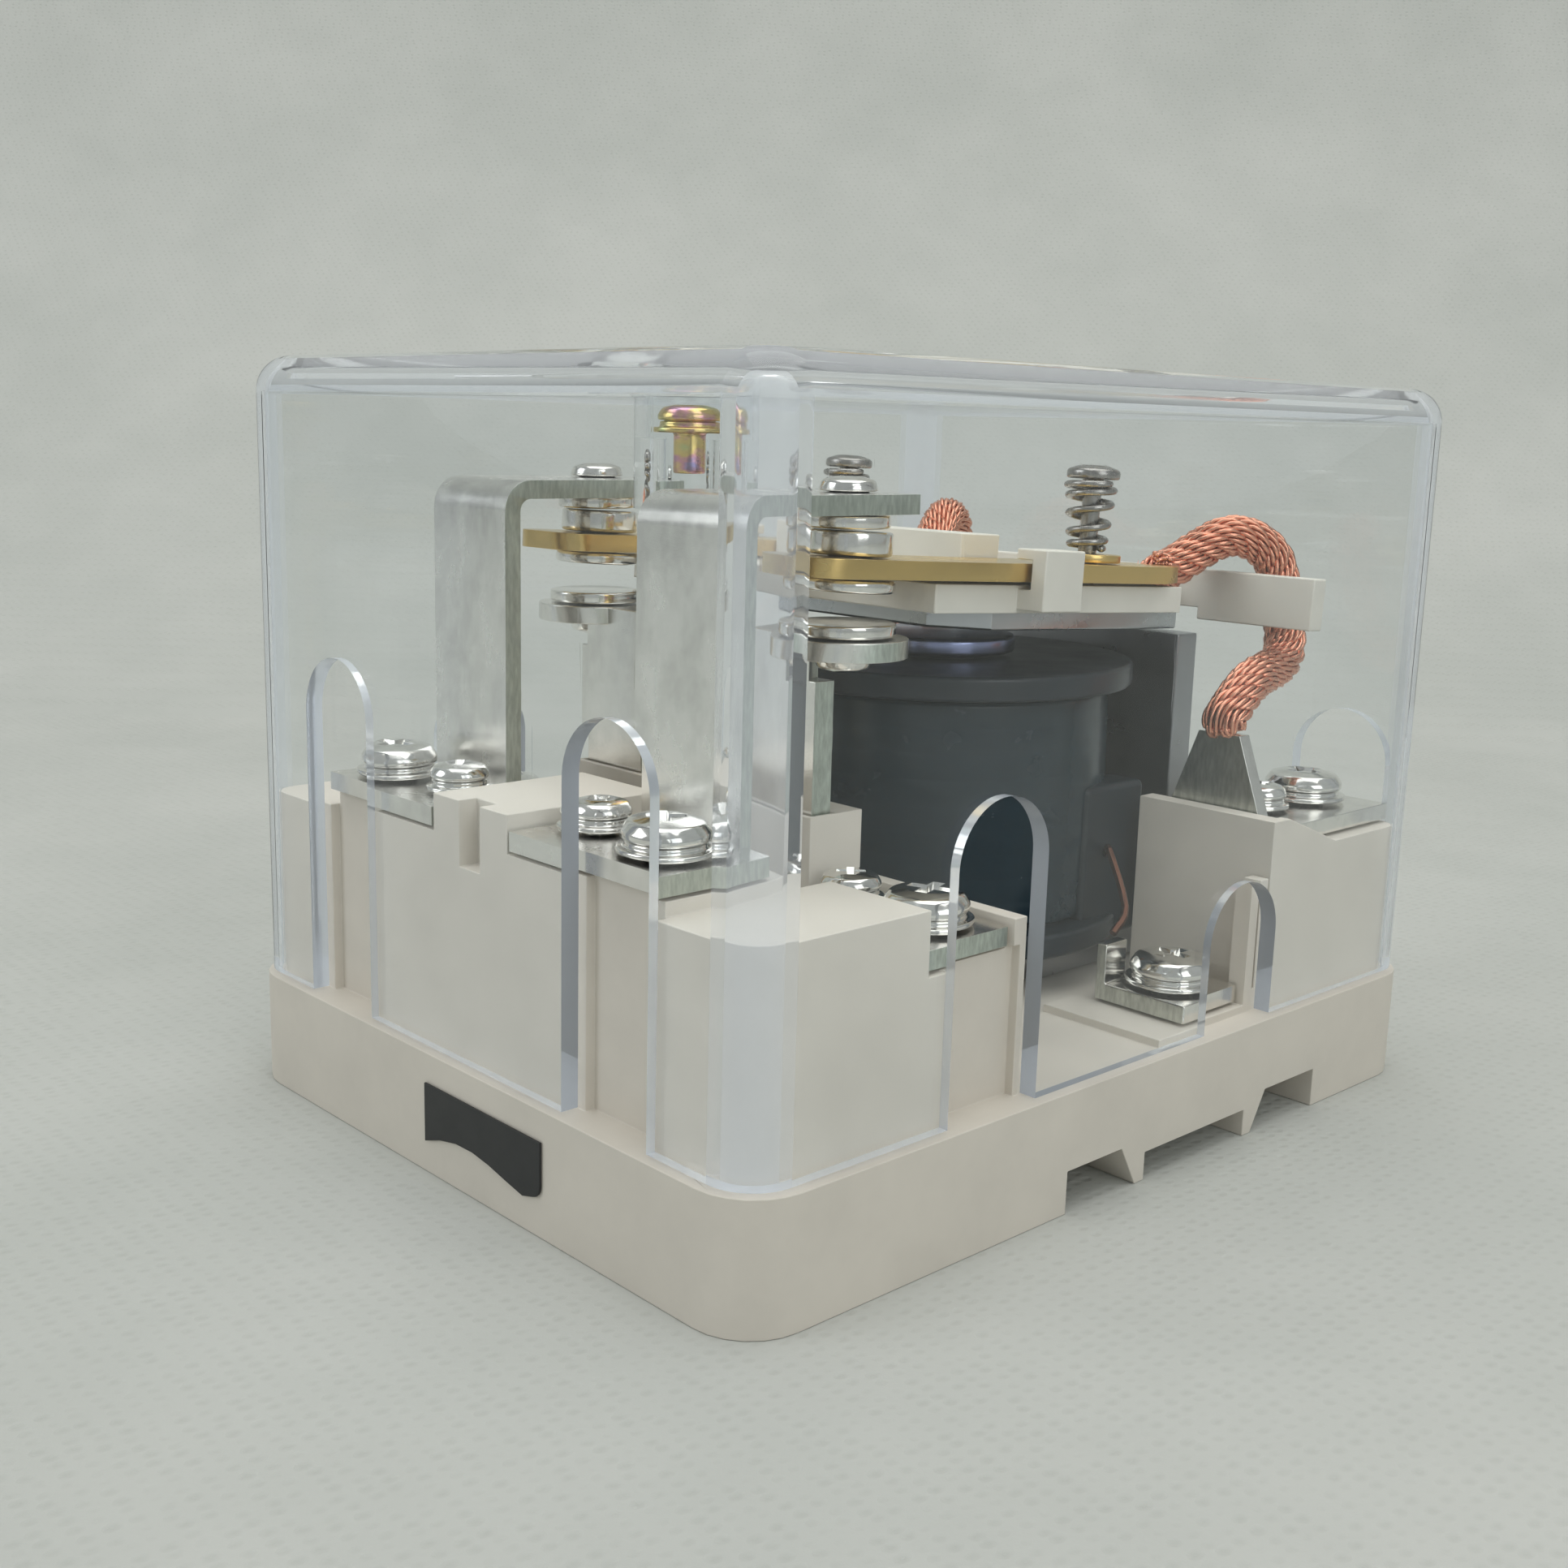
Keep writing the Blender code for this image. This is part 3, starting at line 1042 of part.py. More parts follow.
def make_coil_lead(copper):
    """The enamelled lead from the spool's foot to the tag of the coil terminal."""
    x, y = SCREWS["coil"]["clamp"]
    tag_x = x - COIL_PLATE_WIDTH / 2 + 0.5 * MM
    tag_y = y - COIL_PLATE_DEPTH / 2 + 1.5 * MM
    tag = Vector((tag_x, tag_y, COIL_SEAT_Z + FIT + COIL_TAG + LEAD_RADIUS + FIT))
    leave = Vector((LEAD_BLOCK_END + FIT + 0.1 * MM, LEAD_BLOCK_Y + 3 * MM, SPOOL_Z0 + 8 * MM))
    points = [leave, leave + Vector((1.2, -1.4, 0.8)) * MM, tag + Vector((-0.6, 2.4, 1.8)) * MM, tag]
    return finish(tube("coil_lead_right", smooth_route(points, 4), LEAD_RADIUS, 1), copper)


def make_label(look):
    """The dark rating label on the plinth's front, with its swept lower edge."""
    y = -DEPTH / 2 - LABEL_GLUE
    sweep = []
    for step in range(7):
        share = step / 7
        rise = math.sin(math.pi * min(1, 1.15 * share)) * (1 - share) ** 0.5
        sweep.append((LABEL_START + (LABEL_END - LABEL_START) * share, LABEL_FOOT + 1.6 * MM * rise))
    corner = arc((LABEL_END - MM, LABEL_FOOT + 1.4 * MM), MM, -80, 0, 4)
    outline = [(LABEL_START, LABEL_TOP), *sweep, *corner, (LABEL_END, LABEL_TOP)]
    return finish(prism("rating_label", outline, y - LABEL_FILM, y, "Y"), look)


def main():
    for obj in list(bpy.data.objects):
        bpy.data.objects.remove(obj)

    cream = material("cream_plastic", (0.80, 0.77, 0.71), 0.45)
    clear = material("clear_plastic", (0.93, 0.96, 0.98), 0.05, transmission=0.95)
    nickel = material("nickel_plate", (0.72, 0.70, 0.66), 0.3, metallic=1.0)
    silver = material("silver_contact", (0.80, 0.78, 0.74), 0.18, metallic=1.0)
    brass = material("brass", (0.78, 0.60, 0.28), 0.28, metallic=1.0)
    white = material("white_plastic", (0.86, 0.85, 0.80), 0.4)
    steel = material("plated_steel", (0.45, 0.46, 0.50), 0.35, metallic=1.0)
    black = material("black_plastic", (0.02, 0.025, 0.03), 0.35)
    tape = material("winding_tape", (0.02, 0.035, 0.05), 0.3)
    copper = material("copper", (0.80, 0.38, 0.26), 0.35, metallic=1.0)
    yellow_zinc = material("yellow_zinc", (0.72, 0.58, 0.22), 0.25, metallic=1.0)
    charcoal = material("label_film", (0.05, 0.05, 0.05), 0.45)

    make_base(cream)
    make_label(charcoal)
    make_cover(clear)
    make_cover_fixing(yellow_zinc)

    right_hand = [
        (make_nc_terminal(nickel), nickel),
        (make_no_terminal(nickel), nickel),
        (make_com_terminal(nickel), nickel),
        (make_coil_terminal(nickel), nickel),
        (make_braid(copper), copper),
        (make_coil_lead(copper), copper),
    ]
    right_hand += [(contact, silver) for contact in make_fixed_contacts(silver)]
    for terminal, places in SCREWS.items():
        for role, (x, y) in places.items():
            name = f"{terminal}_{role}_screw_right"
            place = (x, y, SEAT_TOPS[terminal])
            right_hand.append((pan_screw(name, screw_size(terminal, role), place, nickel), nickel))
    yoke_place = (YOKE_SCREW_X, YOKE_SCREW_Y, YOKE_Z0 + YOKE_PLATE)
    right_hand.append((pan_screw("yoke_screw_right", YOKE_SCREW, yoke_place, nickel), nickel))
    for piece, look in right_hand:
        finish(mirrored(piece, piece.name.replace("_right", "_left")), look)

    make_magnet(steel, black, tape)
    make_return_spring(steel)

    moving_right = [(make_moving_arm(brass), brass), (make_moving_contact(silver), silver)]
    washer, pin, spring = make_press_spring(brass, steel)
    moving_right += [(washer, brass), (pin, steel), (spring, steel)]
    bridge_place = (BRIDGE_X, BRIDGE_Y, CARRIER_Z + CARRIER_PLATE)
    moving_right.append((pan_screw("carrier_screw_right", BRIDGE, bridge_place, nickel), nickel))
    moving = [piece for piece, _ in moving_right]
    for piece, look in moving_right:
        moving.append(finish(mirrored(piece, piece.name.replace("_right", "_left")), look))
    moving += [make_carrier(white), make_armature(steel)]

    hinge = bpy.data.objects.new("armature_hinge", None)
    bpy.context.scene.collection.objects.link(hinge)
    for piece in moving:
        piece.parent = hinge
        piece.matrix_parent_inverse = Matrix.Translation(-HINGE)
    hinge.location = HINGE
    hinge.rotation_euler.x = -OPEN_ANGLE


main()
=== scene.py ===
import json
import math

import bmesh
import bpy
from mathutils import Matrix, Vector


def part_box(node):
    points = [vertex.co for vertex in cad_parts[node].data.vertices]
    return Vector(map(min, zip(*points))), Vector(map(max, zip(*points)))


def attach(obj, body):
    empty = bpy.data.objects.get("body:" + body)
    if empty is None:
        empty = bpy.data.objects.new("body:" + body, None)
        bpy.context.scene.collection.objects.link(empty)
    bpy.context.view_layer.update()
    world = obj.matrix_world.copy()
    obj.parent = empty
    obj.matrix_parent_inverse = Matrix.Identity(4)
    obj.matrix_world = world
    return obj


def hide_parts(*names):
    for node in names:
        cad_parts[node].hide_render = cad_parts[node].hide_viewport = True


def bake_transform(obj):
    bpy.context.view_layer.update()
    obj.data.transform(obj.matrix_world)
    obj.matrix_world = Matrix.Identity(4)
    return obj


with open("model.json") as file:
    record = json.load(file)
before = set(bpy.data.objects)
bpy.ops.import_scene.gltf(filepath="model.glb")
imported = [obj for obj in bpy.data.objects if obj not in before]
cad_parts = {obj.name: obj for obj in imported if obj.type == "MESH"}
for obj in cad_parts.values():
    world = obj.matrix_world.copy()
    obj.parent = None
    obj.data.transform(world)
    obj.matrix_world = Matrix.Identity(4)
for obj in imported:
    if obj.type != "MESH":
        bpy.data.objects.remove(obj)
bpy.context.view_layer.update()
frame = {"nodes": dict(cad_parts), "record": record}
nodes = frame["nodes"]
mm = 0.001
sides = ("left", "right")
baseBody = "base"
armatureBody = "armature_assembly"
coverBody = "cover_assembly"
print("frame loaded:", len(nodes), "parts")


# small helpers

def cornersOf(node):
    low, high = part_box(node)
    return Vector(low), Vector(high)


def middleOf(node):
    low, high = cornersOf(node)
    return (low + high) / 2


def hingeOf(name):
    for joint in frame["record"]["behaviour"]["joints"]:
        if joint["name"] == name:
            return joint


hinge = hingeOf("armature_hinge")
restTilt = math.radians(hinge["range_deg"][1])  # the armature stands open by as much as it can close


def tilted(point):
    # a place on the open armature, with the axes of the armature itself
    return Matrix.Translation(point) @ Matrix.Rotation(-restTilt, 4, "X")


def pieceFrom(name, bm, material, body, place=Matrix.Identity(4), smooth=True):
    bmesh.ops.recalc_face_normals(bm, faces=bm.faces)
    bm.transform(place)
    mesh = bpy.data.meshes.new(name)
    bm.to_mesh(mesh)
    bm.free()
    piece = bpy.data.objects.new(name, mesh)
    bpy.context.scene.collection.objects.link(piece)
    mesh.materials.append(material)
    if smooth:
        mesh.shade_smooth()
    if body:
        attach(piece, body)
    return piece


def softenEdges(piece, width, segments=3, angle=32):
    if piece.name in nodes:
        weld = piece.modifiers.new("weld", "WELD")
        weld.merge_threshold = 0.002 * mm
    edge = piece.modifiers.new("edges", "BEVEL")
    edge.width = width
    edge.segments = segments
    edge.limit_method = "ANGLE"
    edge.angle_limit = math.radians(angle)
    edge.miter_outer = "MITER_ARC"
    edge.use_clamp_overlap = True
    edge.harden_normals = False
    even = piece.modifiers.new("shade", "WEIGHTED_NORMAL")
    even.keep_sharp = False
    piece.data.shade_smooth()
    return piece


def latheMesh(profile, segments=64):
    # turns (radius, height) points about Z; a profile that starts and ends on the axis closes itself
    bm = bmesh.new()
    rings = []
    for radius, height in profile:
        if radius < 1e-9:
            rings.append([bm.verts.new((0, 0, height))])
            continue
        ring = []
        for step in range(segments):
            turn = math.tau * step / segments
            ring.append(bm.verts.new((radius * math.cos(turn), radius * math.sin(turn), height)))
        rings.append(ring)
    closed = len(rings[0]) > 1
    pairs = list(zip(rings, rings[1:] + rings[:1])) if closed else list(zip(rings, rings[1:]))
    for low, high in pairs:
        for step in range(segments):
            after = (step + 1) % segments
            if len(low) == 1:
                bm.faces.new((low[0], high[step], high[after]))
            elif len(high) == 1:
                bm.faces.new((low[step], high[0], low[after]))
            else:
                bm.faces.new((low[step], high[step], high[after], low[after]))
    return bm


def roundedProfile(points, radius, steps=4):
    # rounds the inner corners of a lathe profile
    rounded = [points[0]]
    for before, corner, after in zip(points, points[1:], points[2:]):
        back = Vector(before) - Vector(corner)
        ahead = Vector(after) - Vector(corner)
        reach = min(radius, 0.45 * back.length, 0.45 * ahead.length)
        start = Vector(corner) + back.normalized() * reach
        end = Vector(corner) + ahead.normalized() * reach
        for step in range(steps + 1):
            share = step / steps
            point = start * (1 - share) ** 2 + Vector(corner) * 2 * share * (1 - share) + end * share**2
            rounded.append((point.x, point.y))
    rounded.append(points[-1])
    return rounded


def smoothPath(points, steps):
    ends = [points[0] * 2 - points[1], *points, points[-1] * 2 - points[-2]]
    path = []
    for a, b, c, d in zip(ends, ends[1:], ends[2:], ends[3:]):
        for step in range(steps):
            t = step / steps
            squared = (2 * a - 5 * b + 4 * c - d) * t**2
            cubed = (3 * b - a - 3 * c + d) * t**3
            path.append(0.5 * (2 * b + (c - a) * t + squared + cubed))
    return [*path, points[-1]]


def pathFrames(path):
    # two cross directions at each point, carried along without twist
    frames = []
    side = None
    for index, point in enumerate(path):
        ahead = path[min(index + 1, len(path) - 1)] - path[max(index - 1, 0)]
        ahead.normalize()
        if side is None:
            side = ahead.orthogonal().normalized()
        side = (side - ahead * side.dot(ahead)).normalized()
        frames.append((side, ahead.cross(side)))
    return frames


def addTube(bm, path, radius, around=8, taper=0.0):
    frames = pathFrames(path)
    rings = []
    count = len(path)
    for index, (point, (side, up)) in enumerate(zip(path, frames)):
        size = radius
        if taper and (index == 0 or index == count - 1):
            size = radius * (1 - taper)
        ring = []
        for step in range(around):
            turn = math.tau * step / around
            ring.append(bm.verts.new(point + side * (size * math.cos(turn)) + up * (size * math.sin(turn))))
        rings.append(ring)
    for low, high in zip(rings, rings[1:]):
        for step in range(around):
            after = (step + 1) % around
            bm.faces.new((low[step], low[after], high[after], high[step]))
    bm.faces.new(list(reversed(rings[0])))
    bm.faces.new(rings[-1])


def applyCut(piece, tool):
    cut = piece.modifiers.new("cut", "BOOLEAN")
    cut.operation = "DIFFERENCE"
    cut.object = tool
    cut.solver = "EXACT"
    shaped = bpy.data.meshes.new_from_object(piece.evaluated_get(bpy.context.evaluated_depsgraph_get()))
    piece.modifiers.clear()
    piece.data = shaped
    bpy.data.objects.remove(tool)


def toolFrom(bm):
    bmesh.ops.recalc_face_normals(bm, faces=bm.faces)
    mesh = bpy.data.meshes.new("tool")
    bm.to_mesh(mesh)
    bm.free()
    tool = bpy.data.objects.new("tool", mesh)
    bpy.context.scene.collection.objects.link(tool)
    return tool


# materials

def startMaterial(name, color, roughness, metallic=0.0):
    material = bpy.data.materials.new(name)
    material.use_nodes = True
    shader = material.node_tree.nodes["Principled BSDF"]
    shader.inputs["Base Color"].default_value = (*color, 1)
    shader.inputs["Roughness"].default_value = roughness
    shader.inputs["Metallic"].default_value = metallic
    return material, material.node_tree, shader


def addNode(tree, kind, **values):
    node = tree.nodes.new(kind)
    for key, value in values.items():
        if hasattr(node, key):
            setattr(node, key, value)
        else:
            node.inputs[key.replace("_", " ")].default_value = value
    return node


def objectPoint(tree, stretch=(1, 1, 1)):
    place = addNode(tree, "ShaderNodeTexCoord")
    mapping = addNode(tree, "ShaderNodeMapping")
    mapping.inputs["Scale"].default_value = stretch
    tree.links.new(place.outputs["Object"], mapping.inputs["Vector"])
    return mapping.outputs["Vector"]


def noiseAt(tree, size, detail=4.0, roughness=0.55, stretch=(1, 1, 1)):
    # size is how wide one blotch is, in metres
    noise = addNode(tree, "ShaderNodeTexNoise")
    noise.inputs["Scale"].default_value = 1 / size
    noise.inputs["Detail"].default_value = detail
    noise.inputs["Roughness"].default_value = roughness
    tree.links.new(objectPoint(tree, stretch), noise.inputs["Vector"])
    return noise.outputs["Fac"]


def rampOf(tree, source, stops):
    ramp = addNode(tree, "ShaderNodeValToRGB")
    elements = ramp.color_ramp.elements
    while len(elements) < len(stops):
        elements.new(0.5)
    for element, (place, color) in zip(elements, stops):
        element.position = place
        element.color = (*color, 1)
    tree.links.new(source, ramp.inputs["Fac"])
    return ramp.outputs["Color"]


def rangeOf(tree, source, low, high, fromLow=0.3, fromHigh=0.7):
    spread = addNode(tree, "ShaderNodeMapRange")
    spread.inputs["From Min"].default_value = fromLow
    spread.inputs["From Max"].default_value = fromHigh
    spread.inputs["To Min"].default_value = low
    spread.inputs["To Max"].default_value = high
    tree.links.new(source, spread.inputs["Value"])
    return spread.outputs["Result"]


def addBump(tree, shader, layers):
    # layers of (height, strength, depth in metres), finest last
    normal = None
    for height, strength, depth in layers:
        bump = addNode(tree, "ShaderNodeBump")
        bump.inputs["Strength"].default_value = strength
        bump.inputs["Distance"].default_value = depth
        tree.links.new(height, bump.inputs["Height"])
        if normal is not None:
            tree.links.new(normal, bump.inputs["Normal"])
        normal = bump.outputs["Normal"]
    tree.links.new(normal, shader.inputs["Normal"])


def tinted(color, factor):
    return tuple(min(1.0, channel * factor) for channel in color)


def mouldedPlastic(name, color, roughness, blotch=9 * mm, grain=0.25 * mm, depth=0.008 * mm):
    # moulded plastic: faint flow marks, a fine matt grain and a little handling dust
    material, tree, shader = startMaterial(name, color, roughness)
    flow = noiseAt(tree, blotch, 5, 0.6)
    tone = rampOf(tree, flow, ((0.3, tinted(color, 0.94)), (0.52, color), (0.75, tinted(color, 1.05))))
    tree.links.new(tone, shader.inputs["Base Color"])
    fine = noiseAt(tree, grain, 3)
    tree.links.new(rangeOf(tree, flow, roughness - 0.05, roughness + 0.08), shader.inputs["Roughness"])
    addBump(tree, shader, ((flow, 0.12, 0.05 * mm), (fine, 0.5, depth)))
    shader.inputs["Specular IOR Level"].default_value = 0.45
    return material


def platedMetal(name, color, roughness, sparkle=0.16 * mm, depth=0.004 * mm, smear=4 * mm, stretch=(1, 1, 1)):
    # plating over rolled metal: a fine sparkle, and smears where it was handled
    material, tree, shader = startMaterial(name, color, roughness, 1.0)
    smears = noiseAt(tree, smear, 4, 0.6, stretch)
    tone = rampOf(tree, smears, ((0.28, tinted(color, 0.86)), (0.55, color), (0.8, tinted(color, 1.08))))
    tree.links.new(tone, shader.inputs["Base Color"])
    tree.links.new(rangeOf(tree, smears, roughness * 0.75, roughness * 1.35), shader.inputs["Roughness"])
    fine = noiseAt(tree, sparkle, 2, 0.5, stretch)
    addBump(tree, shader, ((fine, 0.6, depth),))
    return material


def shearedPlate(name, faceColor, edgeColor, roughness, thinAxis):
    # nickel-plated bar: sparkling faces, and duller greenish edges where it was sheared
    material, tree, shader = startMaterial(name, faceColor, roughness, 1.0)
    smears = noiseAt(tree, 3.2 * mm, 5, 0.62, (1, 1, 0.6))
    faceTones = ((0.3, tinted(faceColor, 0.85)), (0.55, faceColor), (0.8, tinted(faceColor, 1.07)))
    face = rampOf(tree, smears, faceTones)
    streaks = noiseAt(tree, 0.35 * mm, 3, 0.6, (1, 1, 0.25))
    edge = rampOf(tree, streaks, ((0.3, tinted(edgeColor, 0.75)), (0.7, tinted(edgeColor, 1.15))))
    place = addNode(tree, "ShaderNodeTexCoord")
    split = addNode(tree, "ShaderNodeSeparateXYZ")
    tree.links.new(place.outputs["Normal"], split.inputs["Vector"])
    size = addNode(tree, "ShaderNodeMath", operation="ABSOLUTE")
    tree.links.new(split.outputs[thinAxis], size.inputs[0])
    onEdge = rangeOf(tree, size.outputs[0], 0.0, 1.0, 0.75, 0.95)
    mix = addNode(tree, "ShaderNodeMix", data_type="RGBA")
    tree.links.new(onEdge, mix.inputs["Factor"])
    tree.links.new(face, mix.inputs[6])
    tree.links.new(edge, mix.inputs[7])
    tree.links.new(mix.outputs[2], shader.inputs["Base Color"])
    rough = addNode(tree, "ShaderNodeMath", operation="MULTIPLY_ADD")
    tree.links.new(onEdge, rough.inputs[0])
    rough.inputs[1].default_value = 0.18
    tree.links.new(rangeOf(tree, smears, roughness * 0.8, roughness * 1.25), rough.inputs[2])
    tree.links.new(rough.outputs[0], shader.inputs["Roughness"])
    sparkle = noiseAt(tree, 0.15 * mm, 2, 0.5)
    dents = noiseAt(tree, 0.7 * mm, 3, 0.5)
    addBump(tree, shader, ((dents, 0.25, 0.01 * mm), (sparkle, 0.8, 0.006 * mm)))
    return material


def iridescentZinc(name, gold, roughness=0.2):
    # yellow chromate over zinc, with its rose and green bands
    material, tree, shader = startMaterial(name, gold, roughness, 1.0)
    band = noiseAt(tree, 2.4 * mm, 3, 0.5, (1, 1, 1.8))
    colors = (
        (0.30, (0.62, 0.66, 0.30)), (0.42, gold), (0.52, (0.80, 0.60, 0.22)),
        (0.62, (0.72, 0.36, 0.42)), (0.74, (0.42, 0.36, 0.62)),
    )
    tree.links.new(rampOf(tree, band, colors), shader.inputs["Base Color"])
    tree.links.new(rangeOf(tree, noiseAt(tree, 1 * mm), 0.14, 0.3), shader.inputs["Roughness"])
    addBump(tree, shader, ((noiseAt(tree, 0.2 * mm, 2), 0.5, 0.004 * mm),))
    return material


def clearShell(name, color, ior, clearness, roughness):
    # clear polycarbonate with hair scratches and smudges; light passes straight through it
    material, tree, shader = startMaterial(name, color, roughness)
    shader.inputs["IOR"].default_value = ior
    shader.inputs["Transmission Weight"].default_value = clearness
    smudge = noiseAt(tree, 14 * mm, 5, 0.65)
    tree.links.new(rangeOf(tree, smudge, roughness, roughness + 0.03, 0.45, 0.8), shader.inputs["Roughness"])
    scratches = noiseAt(tree, 0.5 * mm, 2, 0.5, (1, 1, 0.03))
    wave = noiseAt(tree, 16 * mm, 1, 0.4)
    hairs = rangeOf(tree, scratches, 0.0, 1.0, 0.70, 0.75)
    addBump(tree, shader, ((wave, 0.25, 0.12 * mm), (hairs, 0.2, 0.005 * mm)))
    path = addNode(tree, "ShaderNodeLightPath")
    through = addNode(tree, "ShaderNodeBsdfTransparent")
    through.inputs["Color"].default_value = (0.95, 0.965, 0.975, 1)
    mix = addNode(tree, "ShaderNodeMixShader")
    tree.links.new(path.outputs["Is Shadow Ray"], mix.inputs["Fac"])
    tree.links.new(shader.outputs["BSDF"], mix.inputs[1])
    tree.links.new(through.outputs["BSDF"], mix.inputs[2])
    tree.links.new(mix.outputs["Shader"], tree.nodes["Material Output"].inputs["Surface"])
    return material


def fabricFloor(name):
    # pale bonded fabric: rows of tiny pressed points over a soft uneven sheet
    material, tree, shader = startMaterial(name, (0.62, 0.635, 0.62), 0.85)
    dots = addNode(tree, "ShaderNodeTexVoronoi", feature="F1")
    dots.inputs["Scale"].default_value = 1 / (1.1 * mm)
    dots.inputs["Randomness"].default_value = 0.3
    tree.links.new(objectPoint(tree, (1, 0.72, 1)), dots.inputs["Vector"])
    pits = rangeOf(tree, dots.outputs["Distance"], 0.0, 1.0, 0.10, 0.40)
    fibres = noiseAt(tree, 0.4 * mm, 4, 0.7)
    soil = noiseAt(tree, 60 * mm, 4, 0.6)
    tone = rampOf(tree, soil, ((0.35, (0.50, 0.515, 0.49)), (0.65, (0.555, 0.565, 0.54))))
    shade = rampOf(tree, pits, ((0.0, (0.94, 0.945, 0.94)), (1.0, (1.0, 1.0, 1.0))))
    mix = addNode(tree, "ShaderNodeMix", data_type="RGBA", blend_type="MULTIPLY")
    mix.inputs["Factor"].default_value = 1.0
    tree.links.new(tone, mix.inputs[6])
    tree.links.new(shade, mix.inputs[7])
    tree.links.new(mix.outputs[2], shader.inputs["Base Color"])
    folds = noiseAt(tree, 45 * mm, 3)
    addBump(tree, shader, ((folds, 0.25, 6 * mm), (pits, 0.45, 0.14 * mm), (fibres, 0.4, 0.05 * mm)))
    return material


nickelFace = (0.86, 0.845, 0.81)
looks = {
    "cream": mouldedPlastic("creamMoulding", (0.70, 0.655, 0.585), 0.5),
    "white": mouldedPlastic("carrierMoulding", (0.70, 0.67, 0.60), 0.42, 6 * mm),
    "black": mouldedPlastic("bobbinMoulding", (0.010, 0.017, 0.024), 0.32, 7 * mm, 0.3 * mm, 0.004 * mm),
    "tape": mouldedPlastic("windingTape", (0.010, 0.024, 0.034), 0.22, 5 * mm, 0.5 * mm, 0.005 * mm),
    "label": mouldedPlastic("labelFilm", (0.020, 0.021, 0.022), 0.42, 3 * mm, 0.2 * mm, 0.003 * mm),
    "strip": shearedPlate("nickelStrip", nickelFace, (0.52, 0.56, 0.50), 0.24, "X"),
    "plate": shearedPlate("nickelPlate", nickelFace, (0.55, 0.57, 0.52), 0.16, "Y"),
    "upright": shearedPlate("nickelUpright", nickelFace, (0.58, 0.63, 0.57), 0.2, "X"),
    "screw": platedMetal("screwNickel", (0.86, 0.85, 0.82), 0.12, 0.3 * mm, 0.002 * mm, 2 * mm),
    "silver": platedMetal("contactSilver", (0.88, 0.86, 0.82), 0.12, 0.3 * mm, 0.003 * mm, 2.5 * mm),
    "brass": platedMetal("rolledBrass", (0.78, 0.56, 0.22), 0.24, 0.2 * mm, 0.004 * mm, 5 * mm, (1, 0.3, 1)),
    "steel": platedMetal("zincSteel", (0.58, 0.60, 0.62), 0.28, 0.25 * mm, 0.005 * mm, 5 * mm),
    "pole": platedMetal("poleFace", (0.34, 0.38, 0.60), 0.2, 0.3 * mm, 0.004 * mm, 4 * mm),
    "yoke": platedMetal("yokeSteel", (0.40, 0.41, 0.43), 0.34, 0.25 * mm, 0.005 * mm, 5 * mm),
    "spring": platedMetal("springSteel", (0.40, 0.385, 0.365), 0.24, 0.2 * mm, 0.003 * mm, 2 * mm),
    "copper": platedMetal("copperStrand", (0.86, 0.40, 0.27), 0.26, 0.12 * mm, 0.004 * mm, 2 * mm),
    "enamel": platedMetal("enamelledWire", (0.10, 0.045, 0.03), 0.3, 0.3 * mm, 0.002 * mm, 3 * mm),
    "zinc": iridescentZinc("yellowZinc", (0.74, 0.58, 0.24)),
    "clear": clearShell("clearCover", (0.965, 0.98, 0.985), 1.38, 1.0, 0.0),
    # the rounds: a paler, partly opaque copy of the clear material, as painted sheen on the fillets and corners
    "paintedSheenRound": clearShell("clearCoverRoundsPaintedSheen", (0.90, 0.93, 0.97), 1.22, 0.80, 0.05),
    # the cut edges: a pale blue-white, half opaque copy of the clear material, as painted highlight on slot walls,
    # bevels and the foot rim
    "paintedHighlightEdge": clearShell("clearCoverEdgesPaintedHighlight", (0.80, 0.85, 0.93), 1.20, 0.55, 0.06),
    "clearTop": clearShell("clearCoverTop", (0.93, 0.95, 0.97), 1.08, 0.90, 0.02),
}
print("materials made:", len(looks))


# parts whose frame shape stays

keptParts = {
    "base_moulding": ("cream", 0.35 * mm),
    "contact_carrier": ("white", 0.35 * mm),
    "armature": ("steel", 0.2 * mm),
    "yoke": ("yoke", 0.3 * mm),
    "cover_post": ("zinc", 0.2 * mm),
    "rating_label": ("label", 0.05 * mm),
}
for side in sides:
    keptParts["nc_terminal_" + side] = ("strip", 0.16 * mm)
    keptParts["no_terminal_" + side] = ("upright", 0.16 * mm)
    keptParts["com_terminal_" + side] = ("plate", 0.16 * mm)
    keptParts["coil_terminal_" + side] = ("plate", 0.16 * mm)
    keptParts["moving_arm_" + side] = ("brass", 0.15 * mm)


def dressKeptParts():
    for name, (look, width) in keptParts.items():
        part = nodes[name]
        part.data.materials.clear()
        part.data.materials.append(looks[look])
        softenEdges(part, width)


dressKeptParts()
print("kept parts dressed:", len(keptParts))


# screws

screw = {
    "washerThickness": 0.42 * mm,
    "lockThickness": 0.55 * mm,
    "crossReach": 0.56,  # of the head's radius
    "crossWidth": 0.15,
    "crossDepth": 0.62,  # of the head's height
}


def screwMesh(headRadius, washerRadius, shank, rise, drop):
    # one screw with flat and lock washers; z runs from the shank's end (-drop) to the head's top (rise)
    flat = screw["washerThickness"]
    lock = flat + screw["lockThickness"]
    height = rise - lock
    profile = [(0, -drop), (shank, -drop), (shank, 0), (washerRadius, 0), (washerRadius, flat)]
    groove = lock - 0.08 * mm
    profile += [(headRadius * 0.93, flat), (headRadius * 0.93, groove), (headRadius * 0.8, groove)]
    profile += [(headRadius * 0.8, lock), (headRadius, lock), (headRadius, lock + 0.35 * height)]
    profile += [(headRadius * 0.86, lock + 0.80 * height), (headRadius * 0.5, rise), (0, rise)]
    bm = latheMesh(roundedProfile(profile, 0.22 * mm, 3), 56)
    return bm


